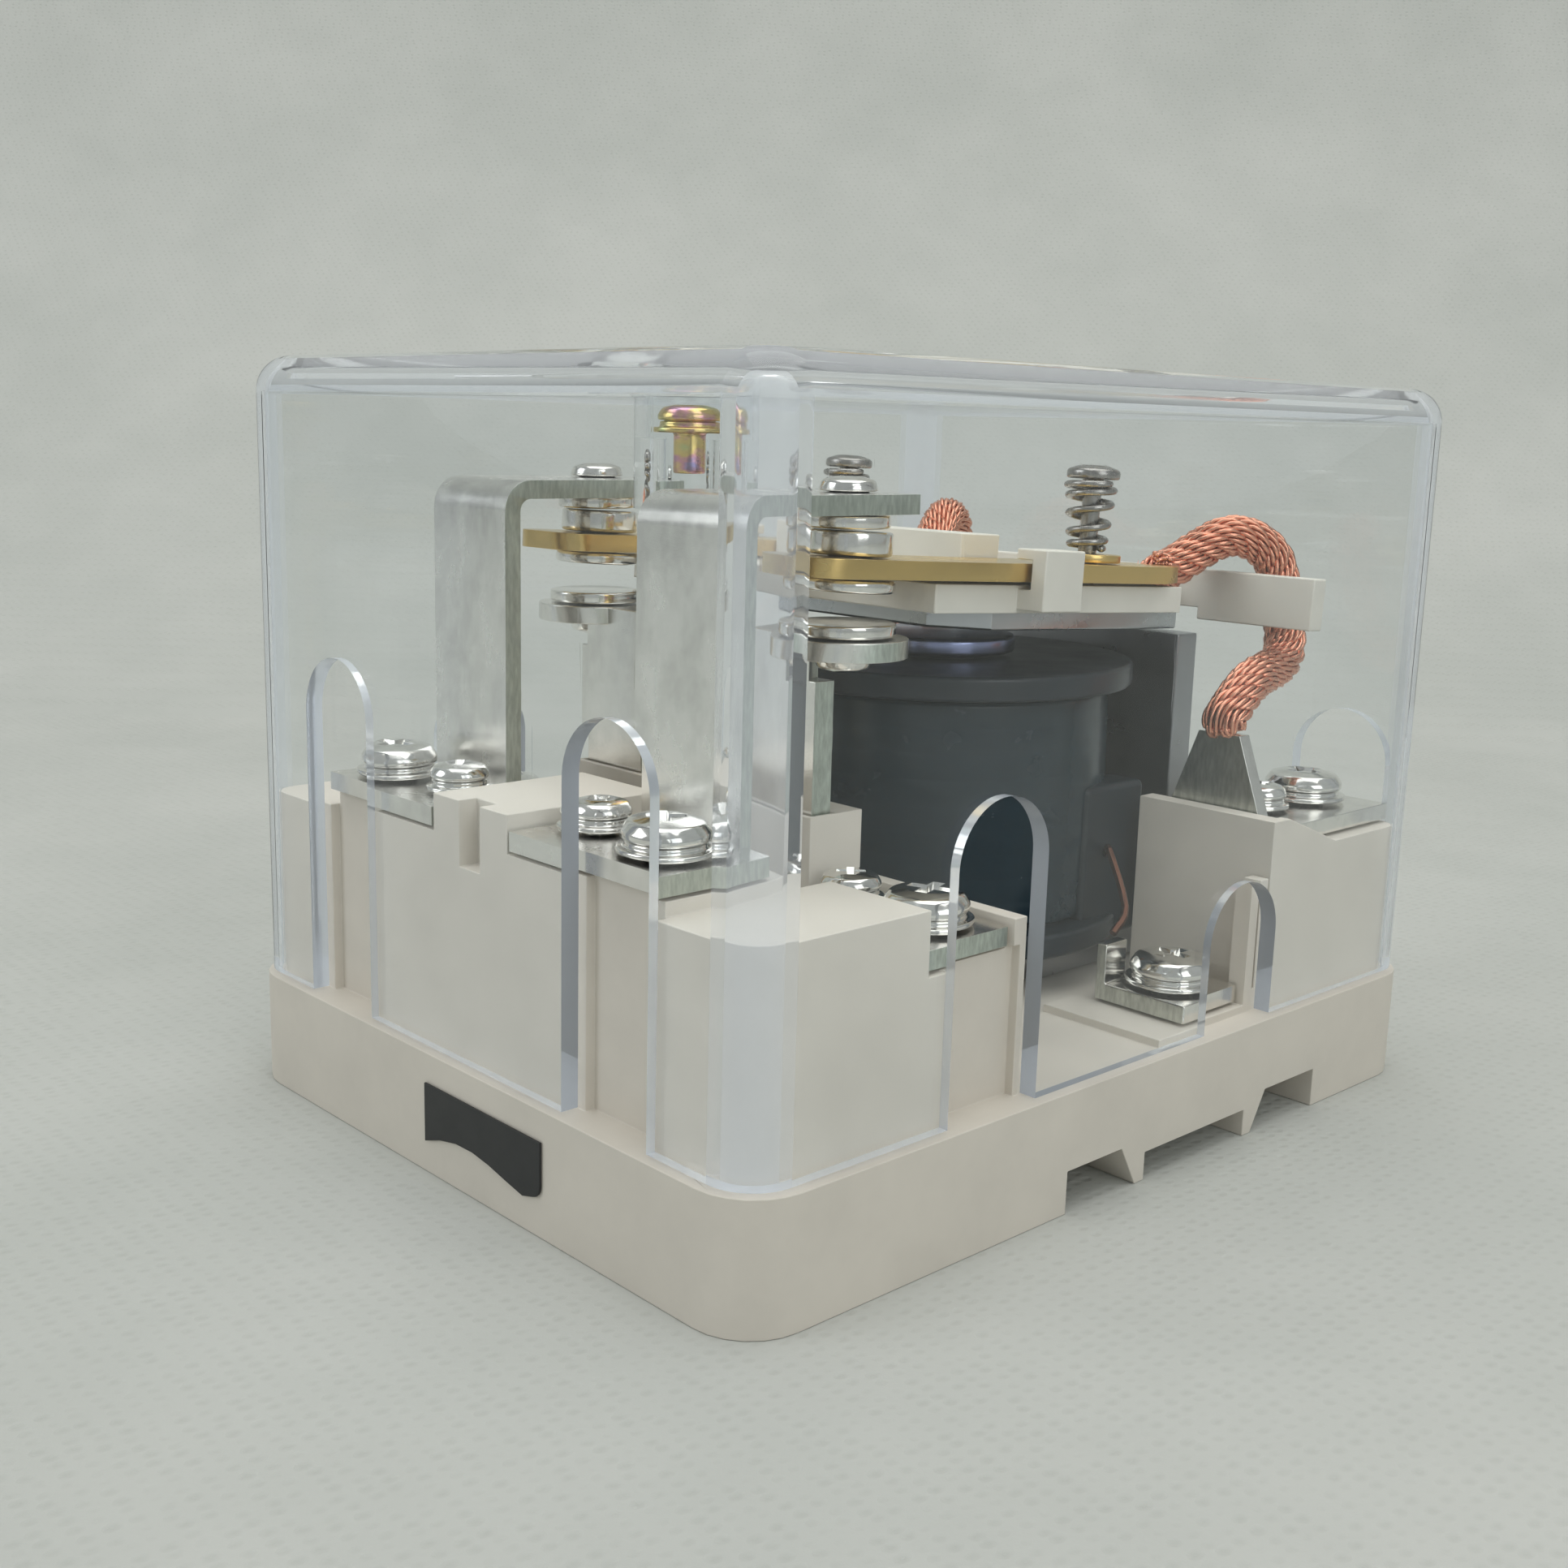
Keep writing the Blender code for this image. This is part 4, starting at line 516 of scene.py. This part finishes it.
def fitScrew(node, look, headRadius, body, turn, lean=False):
    low, high = cornersOf(node)
    middle = (low + high) / 2
    washerRadius = (high.x - low.x) / 2
    shank = headRadius * 0.5
    drop = 3.2 * mm
    length = high.z - low.z
    rise = 2.6 * mm if headRadius > 3 * mm else 2.2 * mm
    place = Matrix.Translation(Vector((middle.x, middle.y, high.z - rise)))
    if lean:
        lift = Matrix.Translation(Vector((0, 0, length / 2 - rise - 0.1 * mm)))
        place = Matrix.Translation(middle) @ Matrix.Rotation(-restTilt, 4, "X") @ lift
    bm = screwMesh(headRadius, washerRadius, shank, rise, drop)
    piece = pieceFrom(node + "_detail", bm, looks[look], body)
    depth = screw["crossDepth"] * (rise - screw["washerThickness"] - screw["lockThickness"])
    for quarter in (0, math.pi / 2):
        bmTool = bmesh.new()
        blade = bmesh.ops.create_cube(bmTool, size=1)["verts"]
        for vert in blade:
            deep = vert.co.z < 0
            vert.co.x *= 2 * headRadius * screw["crossReach"] * (0.45 if deep else 1)
            vert.co.y *= 2 * headRadius * screw["crossWidth"] * (0.7 if deep else 1)
            vert.co.z = rise - depth if deep else rise + 0.3 * mm
        bmesh.ops.rotate(bmTool, verts=blade, cent=(0, 0, 0), matrix=Matrix.Rotation(quarter + turn, 3, "Z"))
        applyCut(piece, toolFrom(bmTool))
    piece.data.transform(place)
    softenEdges(piece, 0.07 * mm, 2, 40)
    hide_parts(node)
    return piece


screwParts = {
    "nc_clamp_screw": (3.5 * mm, "screw", "nickel_plate", 0.3),
    "nc_fixing_screw": (2.4 * mm, "screw", "nickel_plate", 0.9),
    "no_clamp_screw": (3.5 * mm, "screw", "nickel_plate", 1.2),
    "no_fixing_screw": (2.4 * mm, "screw", "nickel_plate", 0.1),
    "com_clamp_screw": (3.5 * mm, "screw", "nickel_plate", 0.6),
    "com_fixing_screw": (2.4 * mm, "screw", "nickel_plate", 0.4),
    "coil_clamp_screw": (3.5 * mm, "screw", "nickel_plate", 0.8),
    "yoke_screw": (2.4 * mm, "screw", "nickel_plate", 0.5),
    "carrier_screw": (2.4 * mm, "screw", "nickel_plate", 0.2),
}


def fitScrews():
    for kind, (headRadius, look, slotName, turn) in screwParts.items():
        for index, side in enumerate(sides):
            lean = kind == "carrier_screw"
            body = armatureBody if lean else baseBody
            fitScrew(kind + "_" + side, look, headRadius, body, turn + 0.7 * index, lean)
    fitScrew("cover_screw", "zinc", 2.6 * mm, coverBody, 0.35)


fitScrews()
print("screws fitted:", 2 * len(screwParts) + 1)


# contacts, pins and washers

contact = {
    "ncRadius": 3.3 * mm,
    "noRadius": 4 * mm,
    "movingRadius": 3.7 * mm,
    "neck": 1.5 * mm,
    "clench": 2.3 * mm,
    "bar": 1.5 * mm,
    "seat": 0.12 * mm,
}


def turnedPart(node, profile, look, body, lean=False, rounding=0.25 * mm, segments=64):
    bm = latheMesh(roundedProfile(profile, rounding, 4), segments)
    low, high = cornersOf(node)
    place = Matrix.Translation((low + high) / 2)
    if lean:
        place = tilted((low + high) / 2)
    piece = pieceFrom(node + "_detail", bm, looks[look], body, place)
    piece.data.set_sharp_from_angle(angle=math.radians(50))
    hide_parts(node)
    return piece


def fitContacts():
    gap = contact["bar"] + 2 * contact["seat"]
    for side in sides:
        # the fixed upper contact: face down, its tail clenched over the arm
        tall = 1 * mm + gap + 1.1 * mm
        z = -tall / 2
        neckTop = z + 1 * mm + gap
        step = z + 1 * mm
        profile = [(0, z), (contact["ncRadius"], z), (contact["ncRadius"], step), (contact["neck"], step)]
        profile += [(contact["neck"], neckTop), (contact["clench"], neckTop)]
        profile.append((contact["clench"] * 0.9, neckTop + 0.8 * mm))
        profile += [(contact["clench"] * 0.5, neckTop + 1.1 * mm), (0, neckTop + 1.1 * mm)]
        turnedPart("nc_contact_" + side, profile, "silver", baseBody)
        # the fixed lower contact is the same the other way up, and broader
        under = []
        for radius, height in profile:
            if radius > contact["clench"]:
                radius = radius * contact["noRadius"] / contact["ncRadius"]
            under.append((radius, -height))
        turnedPart("no_contact_" + side, list(reversed(under)), "silver", baseBody)
        # the moving contact has a face on each side of its arm
        tall = 1.9 * mm + gap + 1 * mm
        z = -tall / 2
        upper = z + 1 * mm + gap
        step = z + 1 * mm
        profile = [(0, z), (contact["movingRadius"], z), (contact["movingRadius"], step), (contact["neck"], step)]
        crown = upper + 1.9 * mm
        profile += [(contact["neck"], upper), (contact["ncRadius"], upper), (contact["ncRadius"], crown), (0, crown)]
        turnedPart("moving_contact_" + side, profile, "silver", armatureBody, True, 0.35 * mm)


def fitSpringPins():
    pin = {"shank": 0.8 * mm, "head": 2.3 * mm, "headHeight": 1.2 * mm}
    washer = {"bore": 1.0 * mm, "radius": 3.1 * mm, "thickness": 0.7 * mm}
    for side in sides:
        low, high = cornersOf("spring_pin_" + side)
        half = (high.z - low.z) / 2 - 0.12 * mm
        top = half - pin["headHeight"]
        profile = [(0, -half), (pin["shank"], -half), (pin["shank"], top), (pin["head"], top)]
        profile.append((pin["head"], top + 0.8 * mm))
        profile += [(pin["head"] * 0.5, half), (0, half)]
        turnedPart("spring_pin_" + side, profile, "spring", armatureBody, True, 0.3 * mm)
        t = washer["thickness"] / 2
        ring = [(washer["bore"], -t), (washer["radius"], -t), (washer["radius"], t), (washer["bore"], t)]
        bm = latheMesh(ring, 56)
        node = "spring_washer_" + side
        piece = pieceFrom(node + "_detail", bm, looks["brass"], armatureBody, tilted(middleOf(node)))
        softenEdges(piece, 0.12 * mm, 2)
        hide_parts(node)


fitContacts()
fitSpringPins()
print("contacts and pins fitted")


# springs

def helixPath(z0, z1, radius0, radius1, turns, perTurn=28):
    steps = round(turns * perTurn)
    path = []
    for index in range(steps + 1):
        share = index / steps
        turn = share * turns * math.tau
        # the end coils lie nearly flat, as ground springs do
        ease = share - math.sin(share * math.tau) / math.tau * 0.55
        radius = radius0 + (radius1 - radius0) * share
        path.append(Vector((radius * math.cos(turn), radius * math.sin(turn), z0 + (z1 - z0) * ease)))
    return path


def fitSprings():
    pressSpring = {
        "height": 5.6 * mm, "lowRadius": 1.4 * mm, "highRadius": 2.1 * mm,
        "turns": 5, "wire": 0.31 * mm,
    }
    for side in sides:
        node = "press_spring_" + side
        half = pressSpring["height"] / 2
        bm = bmesh.new()
        radii = (pressSpring["lowRadius"], pressSpring["highRadius"])
        path = helixPath(-half, half, *radii, pressSpring["turns"])
        addTube(bm, path, pressSpring["wire"], 12, 0.3)
        place = tilted(middleOf("press_spring_" + side))
        piece = pieceFrom(node + "_detail", bm, looks["spring"], armatureBody, place)
        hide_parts(node)
    low, high = cornersOf("return_spring")
    middle = (low + high) / 2
    hook = 3.4 * mm
    coils = helixPath(low.z + hook, high.z - hook - 3 * mm, 1.85 * mm, 1.85 * mm, 12)
    path = [Vector((0, 0, low.z)), Vector((0, 0, low.z + 1.5 * mm)), Vector((0.9 * mm, 0, low.z + 2.6 * mm))]
    path += coils
    path += [Vector((0.9 * mm, 0, high.z - 4.6 * mm)), Vector((0, 0, high.z - 3.4 * mm))]
    path.append(Vector((0, 0, high.z)))
    bm = bmesh.new()
    addTube(bm, path, 0.38 * mm, 12, 0.3)
    place = Matrix.Translation(Vector((middle.x, middle.y, 0)))
    piece = pieceFrom("return_spring_detail", bm, looks["spring"], None, place)
    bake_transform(piece)
    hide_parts("return_spring")


fitSprings()
print("springs wound")


# magnet

def fitMagnet():
    coil = {"flange": 2.2 * mm, "radius": 18 * mm, "tapeRadius": 16.2 * mm, "bore": 4.8 * mm, "spool": 8 * mm}
    low, high = cornersOf("coil_bobbin")
    center = Vector((0, (cornersOf("core")[0].y + cornersOf("core")[1].y) / 2, 0))
    z0, z1 = low.z, high.z
    bore, radius, spool = coil["bore"], coil["radius"], coil["spool"]
    flange = coil["flange"]
    profile = [(bore, z0), (radius, z0), (radius, z0 + flange), (spool, z0 + flange)]
    profile += [(spool, z1 - flange), (radius, z1 - flange), (radius, z1), (bore, z1)]
    bm = latheMesh(profile, 112)
    blockY = center.y + 3 * mm
    coilPlace = Matrix.Translation(center)
    piece = pieceFrom("coil_bobbin_detail", bm, looks["black"], baseBody, coilPlace)
    softenEdges(piece, 0.4 * mm, 3)
    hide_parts("coil_bobbin")
    for side in (-1, 1):
        bm = bmesh.new()
        cube = bmesh.ops.create_cube(bm, size=1)["verts"]
        size = Vector((4 * mm, 8.6 * mm, 14.4 * mm))
        bmesh.ops.scale(bm, verts=cube, vec=size)
        place = Matrix.Translation(Vector((side * 14.2 * mm, blockY + 4 * mm, z0 + size.z / 2)))
        name = "bobbin_post_" + ("left" if side < 0 else "right")
        post = pieceFrom(name, bm, looks["black"], baseBody, place)
        softenEdges(post, 0.6 * mm, 3)
    # the winding under its tape: a slightly crowned roll with the tape's laps showing
    low, high = cornersOf("coil_winding")
    laps = 9
    tape = [(spool + 0.3 * mm, low.z), (coil["tapeRadius"] - 0.5 * mm, low.z)]
    for lap in range(laps):
        for share, lift in ((0.06, 0.0), (0.2, 0.03), (0.8, 0.035), (0.94, 0.01)):
            height = low.z + (high.z - low.z) * (lap + share) / laps
            crown = 0.22 * mm * math.sin(math.pi * (lap + share) / laps)
            tape.append((coil["tapeRadius"] - 0.35 * mm + crown + lift * mm, height))
    tape += [(coil["tapeRadius"] - 0.5 * mm, high.z), (spool + 0.3 * mm, high.z)]
    bm = latheMesh(tape, 112)
    piece = pieceFrom("coil_winding_detail", bm, looks["tape"], baseBody, coilPlace)
    piece.data.set_sharp_from_angle(angle=math.radians(60))
    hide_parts("coil_winding")
    low, high = cornersOf("core")
    half = (high.z - low.z) / 2
    poleRadius = (high.x - low.x) / 2
    stud = 3.5 * mm
    shank = 4.5 * mm
    poleFoot = half - 1.6 * mm
    profile = [(0, -half), (stud, -half), (stud, -half + 3 * mm), (shank, -half + 3.1 * mm), (shank, poleFoot)]
    profile += [(poleRadius, poleFoot), (poleRadius, half), (0, half)]
    turnedPart("core", profile, "pole", baseBody, False, 0.4 * mm, 80)


fitMagnet()
for side in sides:
    lead = nodes["coil_lead_" + side]
    lead.data.materials.clear()
    lead.data.materials.append(looks["enamel"])
    lead.data.shade_smooth()
print("magnet fitted")


# braids

braid = {
    "radius": 2 * mm,
    "strands": 7,
    "strandRadius": 0.72 * mm,
    "wiresPerStrand": 7,
    "wireRadius": 0.21 * mm,
    "lay": 9 * mm,  # how far along one turn of a strand runs
    "wireLay": 4.5 * mm,
    "steps": 14,
}


def braidRoute(side):
    # the same points as the frame's own braid: arm's tail, over the guard, down to the lug
    sign = 1 if side == "right" else -1
    armLow, armHigh = cornersOf("moving_arm_" + side)
    guardHigh = cornersOf("contact_carrier")[1]
    lugLow, lugHigh = cornersOf("com_terminal_" + side)
    poleX = abs(armLow.x + armHigh.x) / 2
    lug = Vector((24 * mm, lugLow.y + 0.75 * mm, lugHigh.z + 0.6 * mm))
    start = Vector((poleX, armHigh.y + 0.47 * mm, armLow.z + 0.78 * mm))
    guardY = guardHigh.y + 0.05 * mm
    points = [
        start,
        start + Vector((0.1, 1.6, 0.25)) * mm,
        Vector((poleX + 2.6 * mm, guardY - 2 * mm, start.z + 3.3 * mm)),
        Vector((poleX + 4.6 * mm, guardY + 2 * mm, start.z + 1.8 * mm)),
        Vector((poleX + 6 * mm, guardY + 2.6 * mm, start.z - 2.6 * mm)),
        Vector((lug.x - 1.6 * mm, guardY + 1.2 * mm, lug.z + 5.2 * mm)),
        lug + Vector((-0.3, 4.2, 3.6)) * mm,
        lug + Vector((0, 0.2, 0.9)) * mm,
        lug,
    ]
    return [Vector((sign * point.x, point.y, point.z)) for point in points]


def alongRoute(path):
    lengths = [0.0]
    for a, b in zip(path, path[1:]):
        lengths.append(lengths[-1] + (b - a).length)
    return lengths


def fitBraid(side):
    path = smoothPath(braidRoute(side), braid["steps"])
    frames = pathFrames(path)
    lengths = alongRoute(path)
    hand = 1 if side == "right" else -1
    bm = bmesh.new()
    for strand in range(braid["strands"]):
        central = strand == 0
        strandOffset = 0 if central else braid["radius"] - braid["strandRadius"] * 1.02
        phase = math.tau * strand / (braid["strands"] - 1)
        center = []
        for point, (a, b), length in zip(path, frames, lengths):
            turn = phase + hand * math.tau * length / braid["lay"]
            center.append(point + a * (strandOffset * math.cos(turn)) + b * (strandOffset * math.sin(turn)))
        strandFrames = pathFrames(center)
        for wire in range(braid["wiresPerStrand"]):
            wireOffset = 0 if wire == 0 else braid["strandRadius"] - braid["wireRadius"]
            wirePhase = math.tau * wire / (braid["wiresPerStrand"] - 1)
            route = []
            for point, (a, b), length in zip(center, strandFrames, lengths):
                turn = wirePhase - hand * math.tau * length / braid["wireLay"]
                route.append(point + a * (wireOffset * math.cos(turn)) + b * (wireOffset * math.sin(turn)))
            addTube(bm, route, braid["wireRadius"], 6)
    node = "braid_" + side
    piece = pieceFrom(node + "_detail", bm, looks["copper"], None)
    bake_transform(piece)
    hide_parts(node)


for side in sides:
    fitBraid(side)
print("braids laid")


# clear cover

cover = {
    "wall": 1.5 * mm,
    "top": 1.8 * mm,
    "corner": 4 * mm,
    "fillet": 3 * mm,
    "slotWidth": 9.8 * mm,
    "frontSlot": (18.2 * mm, 39.7 * mm),
    "rearSlot": (24.5 * mm, 34 * mm),
    "sideSlot": (-18.3 * mm, 34 * mm),
    "coilSlot": (13.6 * mm, 22.7 * mm),
    "bossRadius": 4.5 * mm,
    "boreRadius": 1.95 * mm,
    "counterbore": 3.4 * mm,
    "screwSeat": 6 * mm,  # below the top
    "bossDrop": 11.6 * mm,
    "edgeRadius": 0.14 * mm,
}


def roundedOutline(halfX, halfY, radius, steps):
    outline = []
    for signX, signY, start in ((1, 1, 0), (-1, 1, 90), (-1, -1, 180), (1, -1, 270)):
        for step in range(steps + 1):
            turn = math.radians(start + 90 * step / steps)
            x = signX * (halfX - radius) + radius * math.cos(turn)
            y = signY * (halfY - radius) + radius * math.sin(turn)
            outline.append((x, y))
    return outline


def domedBlock(halfX, halfY, corner, fillet, z0, z1):
    rings = [(0, z0)]
    for step in range(11):
        turn = math.radians(9 * step)
        rings.append((fillet * (1 - math.cos(turn)), z1 - fillet * (1 - math.sin(turn))))
    bm = bmesh.new()
    loops = []
    for inset, z in rings:
        outline = roundedOutline(halfX - inset, halfY - inset, corner - inset, 14)
        loops.append([bm.verts.new((x, y, z)) for x, y in outline])
    count = len(loops[0])
    for low, high in zip(loops, loops[1:]):
        for index in range(count):
            after = (index + 1) % count
            bm.faces.new((low[index], low[after], high[after], high[index]))
    bm.faces.new(list(reversed(loops[0])))
    bm.faces.new(loops[-1])
    return bm


def archTool(center, top, start, end, along):
    radius = cover["slotWidth"] / 2
    outline = [(center + radius, -1 * mm)]
    for step in range(33):
        turn = math.pi * step / 32
        outline.append((center + radius * math.cos(turn), top - radius + radius * math.sin(turn)))
    outline.append((center - radius, -1 * mm))
    bm = bmesh.new()
    low = [bm.verts.new((a, start, z) if along == "Y" else (start, a, z)) for a, z in outline]
    high = [bm.verts.new((a, end, z) if along == "Y" else (end, a, z)) for a, z in outline]
    bm.faces.new(low)
    bm.faces.new(list(reversed(high)))
    for index in range(len(outline)):
        after = (index + 1) % len(outline)
        bm.faces.new((low[index], high[index], high[after], low[after]))
    return toolFrom(bm)


def easeSlotEdges(mesh):
    # the tool's small radius along every sharp edge of the shell
    bm = bmesh.new()
    bm.from_mesh(mesh)
    bmesh.ops.remove_doubles(bm, verts=bm.verts, dist=0.003 * mm)
    bmesh.ops.dissolve_limit(bm, angle_limit=math.radians(0.4), verts=bm.verts, edges=bm.edges)
    joined = [edge for edge in bm.edges if len(edge.link_faces) == 2]
    sharp = [edge for edge in joined if edge.calc_face_angle() > math.radians(50)]
    rounding = cover["edgeRadius"]
    bmesh.ops.bevel(bm, geom=sharp, offset=rounding, segments=2, affect="EDGES", clamp_overlap=True)
    bm.to_mesh(mesh)
    bm.free()


def keepFacesFlat(mesh):
    # flat walls reflect flat: only the rounded faces blend, and they start from the wall's own direction
    mesh.shade_smooth()
    flat = {}
    for face in mesh.polygons:
        if max(abs(axis) for axis in face.normal) > 0.99998 and face.area > 2 * mm * mm:
            flat[face.index] = face.normal.copy()
    atVertex = [[] for _ in mesh.vertices]
    for face in mesh.polygons:
        for index in face.vertices:
            atVertex[index].append(face)
    smoothTurn = math.radians(42)
    normals = []
    for face in mesh.polygons:
        for index in face.vertices:
            if face.index in flat:
                normals.append(flat[face.index])
                continue
            near = [other for other in atVertex[index] if face.normal.angle(other.normal, 0) < smoothTurn]
            walls = [flat[other.index] for other in near if other.index in flat]
            total = Vector()
            for normal in walls or [other.normal for other in near]:
                total += normal
            normals.append(total.normalized())
    mesh.normals_split_custom_set(normals)


def finishCoverFaces(mesh, halfX, halfY, foot, top):
    # walls stay clearest; the rounds get a paler, partly opaque copy of the clear material as painted sheen, the cut
    # edges and the foot rim a pale, half opaque copy as painted highlight, and the flat top a paler copy with a low
    # IOR
    mesh.materials.append(looks["paintedSheenRound"])
    mesh.materials.append(looks["paintedHighlightEdge"])
    mesh.materials.append(looks["clearTop"])
    wall = cover["wall"] + 0.2 * mm
    corner = cover["corner"]
    for face in mesh.polygons:
        x, y, z = abs(face.center.x), abs(face.center.y), face.center.z
        normal = face.normal
        onSide = x > halfX - wall and y < halfY - corner
        onEnd = y > halfY - wall and x < halfX - corner
        # the foot rim and the cut slot walls take the painted highlight copy
        if z < foot + 0.3 * mm and normal.z < -0.3:
            face.material_index = 2
        elif z > top - cover["fillet"]:
            if abs(normal.z) > 0.999:
                face.material_index = 3
            # top fillets and rounded corners take the painted sheen copy
            elif onSide or onEnd or x > halfX - corner and y > halfY - corner:
                face.material_index = 1
        elif onSide and abs(normal.x) < 0.97 or onEnd and abs(normal.y) < 0.97:
            face.material_index = 2
        elif x > halfX - corner and y > halfY - corner:
            face.material_index = 1


def fitCover():
    low, high = cornersOf("cover")
    halfX = (high.x - low.x) / 2
    halfY = (high.y - low.y) / 2
    wall = cover["wall"]
    outer = domedBlock(halfX, halfY, cover["corner"], cover["fillet"], low.z, high.z)
    piece = pieceFrom("cover_detail", outer, looks["clear"], coverBody, smooth=False)
    inner = (halfX - wall, halfY - wall, cover["corner"] - wall, cover["fillet"] - wall)
    applyCut(piece, toolFrom(domedBlock(*inner, 0, high.z - cover["top"])))
    screwMiddle = middleOf("cover_screw")
    center = Matrix.Translation(Vector((screwMiddle.x, screwMiddle.y, 0)))
    bossFoot = high.z - cover["bossDrop"]
    bossTop = high.z - cover["top"] / 2
    bossRadius = cover["bossRadius"]
    boss = latheMesh([(0, bossFoot), (bossRadius, bossFoot), (bossRadius, bossTop), (0, bossTop)], 64)
    boss.transform(center)
    added = toolFrom(boss)
    union = piece.modifiers.new("boss", "BOOLEAN")
    union.operation = "UNION"
    union.object = added
    union.solver = "EXACT"
    piece.data = bpy.data.meshes.new_from_object(piece.evaluated_get(bpy.context.evaluated_depsgraph_get()))
    piece.modifiers.clear()
    bpy.data.objects.remove(added)
    seat = high.z - cover["screwSeat"]
    boreFoot = bossFoot - 1 * mm
    bore = [(0, boreFoot), (cover["boreRadius"], boreFoot), (cover["boreRadius"], seat)]
    bore += [(cover["counterbore"], seat), (cover["counterbore"], high.z + 1 * mm), (0, high.z + 1 * mm)]
    hole = latheMesh(bore, 64)
    hole.transform(center)
    applyCut(piece, toolFrom(hole))
    reach = 3 * mm
    for sign in (-1, 1):
        frontX, frontTop = cover["frontSlot"]
        applyCut(piece, archTool(sign * frontX, frontTop, -halfY - reach, -halfY + reach, "Y"))
        rearX, rearTop = cover["rearSlot"]
        applyCut(piece, archTool(sign * rearX, rearTop, halfY - reach, halfY + reach, "Y"))
        for slotPlace, slotTop in (cover["sideSlot"], cover["coilSlot"]):
            applyCut(piece, archTool(slotPlace, slotTop, sign * halfX - reach, sign * halfX + reach, "X"))
    easeSlotEdges(piece.data)
    keepFacesFlat(piece.data)
    finishCoverFaces(piece.data, halfX, halfY, low.z, high.z)
    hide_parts("cover")


fitCover()
print("cover fitted")


# floor, light and camera

def layFloor():
    sheet = {"near": -0.9, "far": 0.42, "half": 1.4, "cove": 0.25, "rise": 0.9}
    yaw = math.radians(46.829)
    back = Vector((-math.sin(yaw), math.cos(yaw), 0))
    across = Vector((math.cos(yaw), math.sin(yaw), 0))
    profile = [(sheet["near"], 0.0), (sheet["far"] - sheet["cove"], 0.0)]
    for step in range(1, 25):
        turn = math.radians(90 * step / 24)
        distance = sheet["far"] - sheet["cove"] + sheet["cove"] * math.sin(turn)
        profile.append((distance, sheet["cove"] * (1 - math.cos(turn))))
    profile.append((sheet["far"], sheet["rise"]))
    bm = bmesh.new()
    rows = []
    for distance, height in profile:
        rise = Vector((0, 0, height - 0.02 * mm))
        row = [bm.verts.new(back * distance + across * (sheet["half"] * side) + rise) for side in (-1, 1)]
        rows.append(row)
    for low, high in zip(rows, rows[1:]):
        bm.faces.new((low[0], low[1], high[1], high[0]))
    mesh = bpy.data.meshes.new("fabricSweep")
    bm.to_mesh(mesh)
    bm.free()
    floor = bpy.data.objects.new("fabricSweep", mesh)
    bpy.context.scene.collection.objects.link(floor)
    mesh.materials.append(fabricFloor("fabricSheet"))
    mesh.shade_smooth()


def hangLight(name, place, target, size, power, color):
    data = bpy.data.lights.new(name, "AREA")
    data.shape = "RECTANGLE"
    data.size, data.size_y = size
    data.energy = power
    data.color = color
    light = bpy.data.objects.new(name, data)
    bpy.context.scene.collection.objects.link(light)
    light.location = place
    light.rotation_euler = (Vector(target) - Vector(place)).to_track_quat("-Z", "Y").to_euler()
    return light


def setLights():
    target = (0, 0, 0.03)
    hangLight("overhead", (0.05, 0.05, 0.85), target, (0.9, 0.9), 4.5, (1.0, 0.99, 0.95))
    hangLight("frontLeft", (-0.45, -0.75, 0.45), target, (0.5, 0.5), 1.7, (0.97, 0.99, 1.0))
    hangLight("frontRight", (0.80, -0.15, 0.40), target, (0.45, 0.6), 1.4, (0.98, 1.0, 0.99))
    world = bpy.data.worlds.new("softRoom")
    bpy.context.scene.world = world
    world.use_nodes = True
    shade = world.node_tree.nodes["Background"]
    shade.inputs["Color"].default_value = (0.80, 0.84, 0.83, 1)
    shade.inputs["Strength"].default_value = 0.43


def setCamera():
    view = {"place": (111.68, -113.51, 59.01), "yaw": 46.829, "pitch": 11.354, "roll": 1.527, "lens": 40.62}
    data = bpy.data.cameras.new("lookingDown")
    data.lens = view["lens"]
    data.sensor_width = 36
    data.clip_start = 0.005
    camera = bpy.data.objects.new("lookingDown", data)
    bpy.context.scene.collection.objects.link(camera)
    turn = Matrix.Rotation(math.radians(view["yaw"]), 4, "Z")
    nod = Matrix.Rotation(math.radians(90 - view["pitch"]), 4, "X")
    roll = Matrix.Rotation(math.radians(view["roll"]), 4, "Z")
    camera.matrix_world = Matrix.Translation(Vector(view["place"]) * mm) @ turn @ nod @ roll
    bpy.context.scene.camera = camera


layFloor()
setLights()
setCamera()
bpy.context.scene.view_settings.view_transform = "Standard"
print("floor, lights and camera set")
